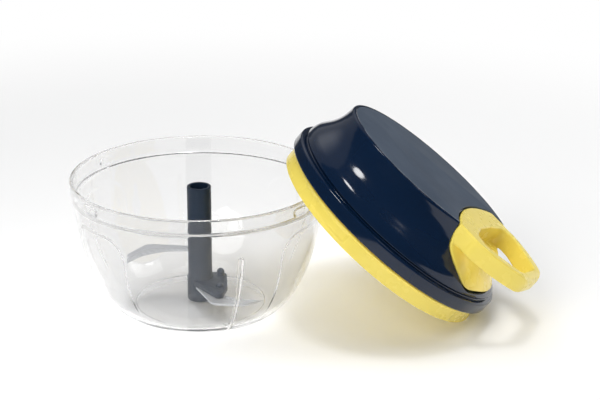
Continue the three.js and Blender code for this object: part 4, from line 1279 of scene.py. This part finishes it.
def cord_lead():
    """The cord from the lid's eyelet to the knot, laid along the handle's pull; the real cord draws out of
    the lid with the handle, but this piece stays where it is made.
    """
    start, end = EYELET_INNER - CORD_RADIUS, KNOT_SEAT
    section = arc((0, CORD_HEIGHT), CORD_RADIUS, 0, 360 - 360 / CORD_SIDES, CORD_SIDES - 1)
    places = [start + (end - start) * i / CORD_RINGS for i in range(CORD_RINGS + 1)]
    rings = [[(a, y, z) for y, z in section] for a in places]
    obj = shaded(lofted("pull_cord", rings, HANDLE))
    obj.data.materials.append(CORD)
    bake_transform(obj)
    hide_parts("cord_lead")


# CAD pieces that keep their own shape


KEPT = (
    (STEEL, ("spindle_pin", "centre_post", "cord_eyelet", "base_screw_1", "base_screw_2", "base_screw_3")),
    (STEEL, ("pawl_1", "pawl_2", "pawl_pin_1", "pawl_pin_2")),
    (ACETAL, ("foot_bush", "drive_bearing", "drive_hub")),
    (CORD, ("cord_knot", "cord_winding")),
    (NYLON, ("spool",)),
    (SPRING, ("recoil_spring",)),
)


def dress(name, material):
    """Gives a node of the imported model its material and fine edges."""
    obj = frame["nodes"][name]
    obj.data.materials.clear()
    obj.data.materials.append(material)
    shaded(obj)
    edges = obj.modifiers.new("edges", "BEVEL")
    edges.width = KEPT_EDGE * MM
    edges.segments = 2
    edges.limit_method = "ANGLE"
    edges.angle_limit = SHARP


# Stage


def floor_material():
    """A white sheet that takes the object's shadow near it and runs out to plain white far from it."""
    n = Nodes("pale_floor")
    n.set(Roughness=0.9, Specular_IOR_Level=0.1)
    n.colour(linear(250, 250, 250), linear(252, 252, 252), 4)
    white = n.add("ShaderNodeEmission", Color=(1, 1, 1, 1), Strength=1.0)
    path = n.add("ShaderNodeLightPath")
    seen = path.outputs["Is Camera Ray"]
    for name in ("Is Glossy Ray", "Is Transmission Ray"):
        seen = n.reckoned("MAXIMUM", seen, path.outputs[name])
    share = n.reckoned("MULTIPLY", n.by_reach(NEAR_FLOOR, FAR_FLOOR, 0, 1), seen)
    n.ends_mixed(share, n.shader.outputs["BSDF"], white.outputs["Emission"])
    return n.material


def floor():
    obj = turned("pale_floor", [(FLOOR_REACH, 0), (NEAR_FLOOR, 0), (0, 0)])
    obj.data.transform(Matrix.Translation((LIT_POINT[0] * MM, 0, 0)))
    obj.data.materials.append(floor_material())


def stand_off(obj, direction, distance):
    """Stands a light off the lit point in a direction, turned back towards it."""
    away = Vector(direction).normalized()
    obj.location = (Vector(LIT_POINT) + away * distance) * MM
    obj.rotation_euler = away.to_track_quat("Z", "Y").to_euler()


def lamp(name, direction, distance, width, glow, seen):
    """A round lamp that glows with a brightness, whatever its width."""
    light = bpy.data.lights.new(name, "AREA")
    light.shape = "DISK"
    light.size = width * MM
    area = math.pi * (width * MM / 2) ** 2
    light.energy = glow * math.pi * area
    obj = bpy.data.objects.new(name, light)
    stand_off(obj, direction, distance)
    obj.visible_glossy = seen
    bpy.context.scene.collection.objects.link(obj)


def back_softbox():
    """A large round softbox behind and to the left, brighter towards its middle."""
    n = Nodes("softbox_cloth")
    n.tree.nodes.remove(n.shader)
    glow = n.add("ShaderNodeEmission", Color=(1, 1, 1, 1))
    n.link(n.by_reach(0, SOFTBOX_CORE * SOFTBOX_RADIUS, *SOFTBOX_GLOW), glow.inputs["Strength"])
    n.ends_in(glow.outputs["Emission"])
    obj = turned("back_softbox", [(0, 0), (SOFTBOX_RADIUS, 0)], SOFTBOX_STEPS)
    stand_off(obj, SOFTBOX_DIRECTION, SOFTBOX_DISTANCE)
    obj.data.materials.append(n.material)
    obj.visible_camera = False


def studio():
    """A dim room, which looks pale to the camera and through the clear bowl, as a white surround does."""
    world = bpy.data.worlds.new("studio")
    world.use_nodes = True
    tree = world.node_tree
    room = tree.nodes["Background"]
    room.inputs["Color"].default_value = ROOM_TINT
    path = tree.nodes.new("ShaderNodeLightPath")
    seen = tree.nodes.new("ShaderNodeMath")
    seen.operation = "MAXIMUM"
    glow = tree.nodes.new("ShaderNodeMapRange")
    glow.inputs["To Min"].default_value = ROOM_GLOW
    glow.inputs["To Max"].default_value = SURROUND_GLOW
    tree.links.new(path.outputs["Is Camera Ray"], seen.inputs[0])
    tree.links.new(path.outputs["Is Transmission Ray"], seen.inputs[1])
    tree.links.new(seen.outputs["Value"], glow.inputs["Value"])
    tree.links.new(glow.outputs["Result"], room.inputs["Strength"])
    bpy.context.scene.world = world


def camera():
    yaw, pitch, roll = (math.radians(a) for a in (CAMERA_YAW, CAMERA_PITCH, CAMERA_ROLL))
    data = bpy.data.cameras.new("camera")
    data.sensor_width, data.lens, data.clip_end = SENSOR, LENS, FARTHEST_METRES
    obj = bpy.data.objects.new("camera", data)
    look = Matrix.Rotation(yaw, 4, "Z") @ Matrix.Rotation(math.pi / 2 + pitch, 4, "X")
    look = look @ Matrix.Rotation(roll, 4, "Z")
    obj.matrix_world = Matrix.Translation(Vector(CAMERA_PLACE) * MM) @ look
    bpy.context.scene.collection.objects.link(obj)
    bpy.context.scene.camera = obj


camera()
floor()
back_softbox()
for each in LAMPS:
    lamp(*each)
studio()
bowl()
shaft()
blade("upper_sickle", *UPPER_BLADE, "upper_blade")
blade("lower_sickle", *LOWER_BLADE, "lower_blade", has_tang=True)
rivets()
housing()
top_pad()
base_ring()
handle()
cord_lead()
for material, names in KEPT:
    for name in names:
        dress(name, material)

bpy.context.scene.view_settings.view_transform = "Standard"
bpy.context.view_layer.update()
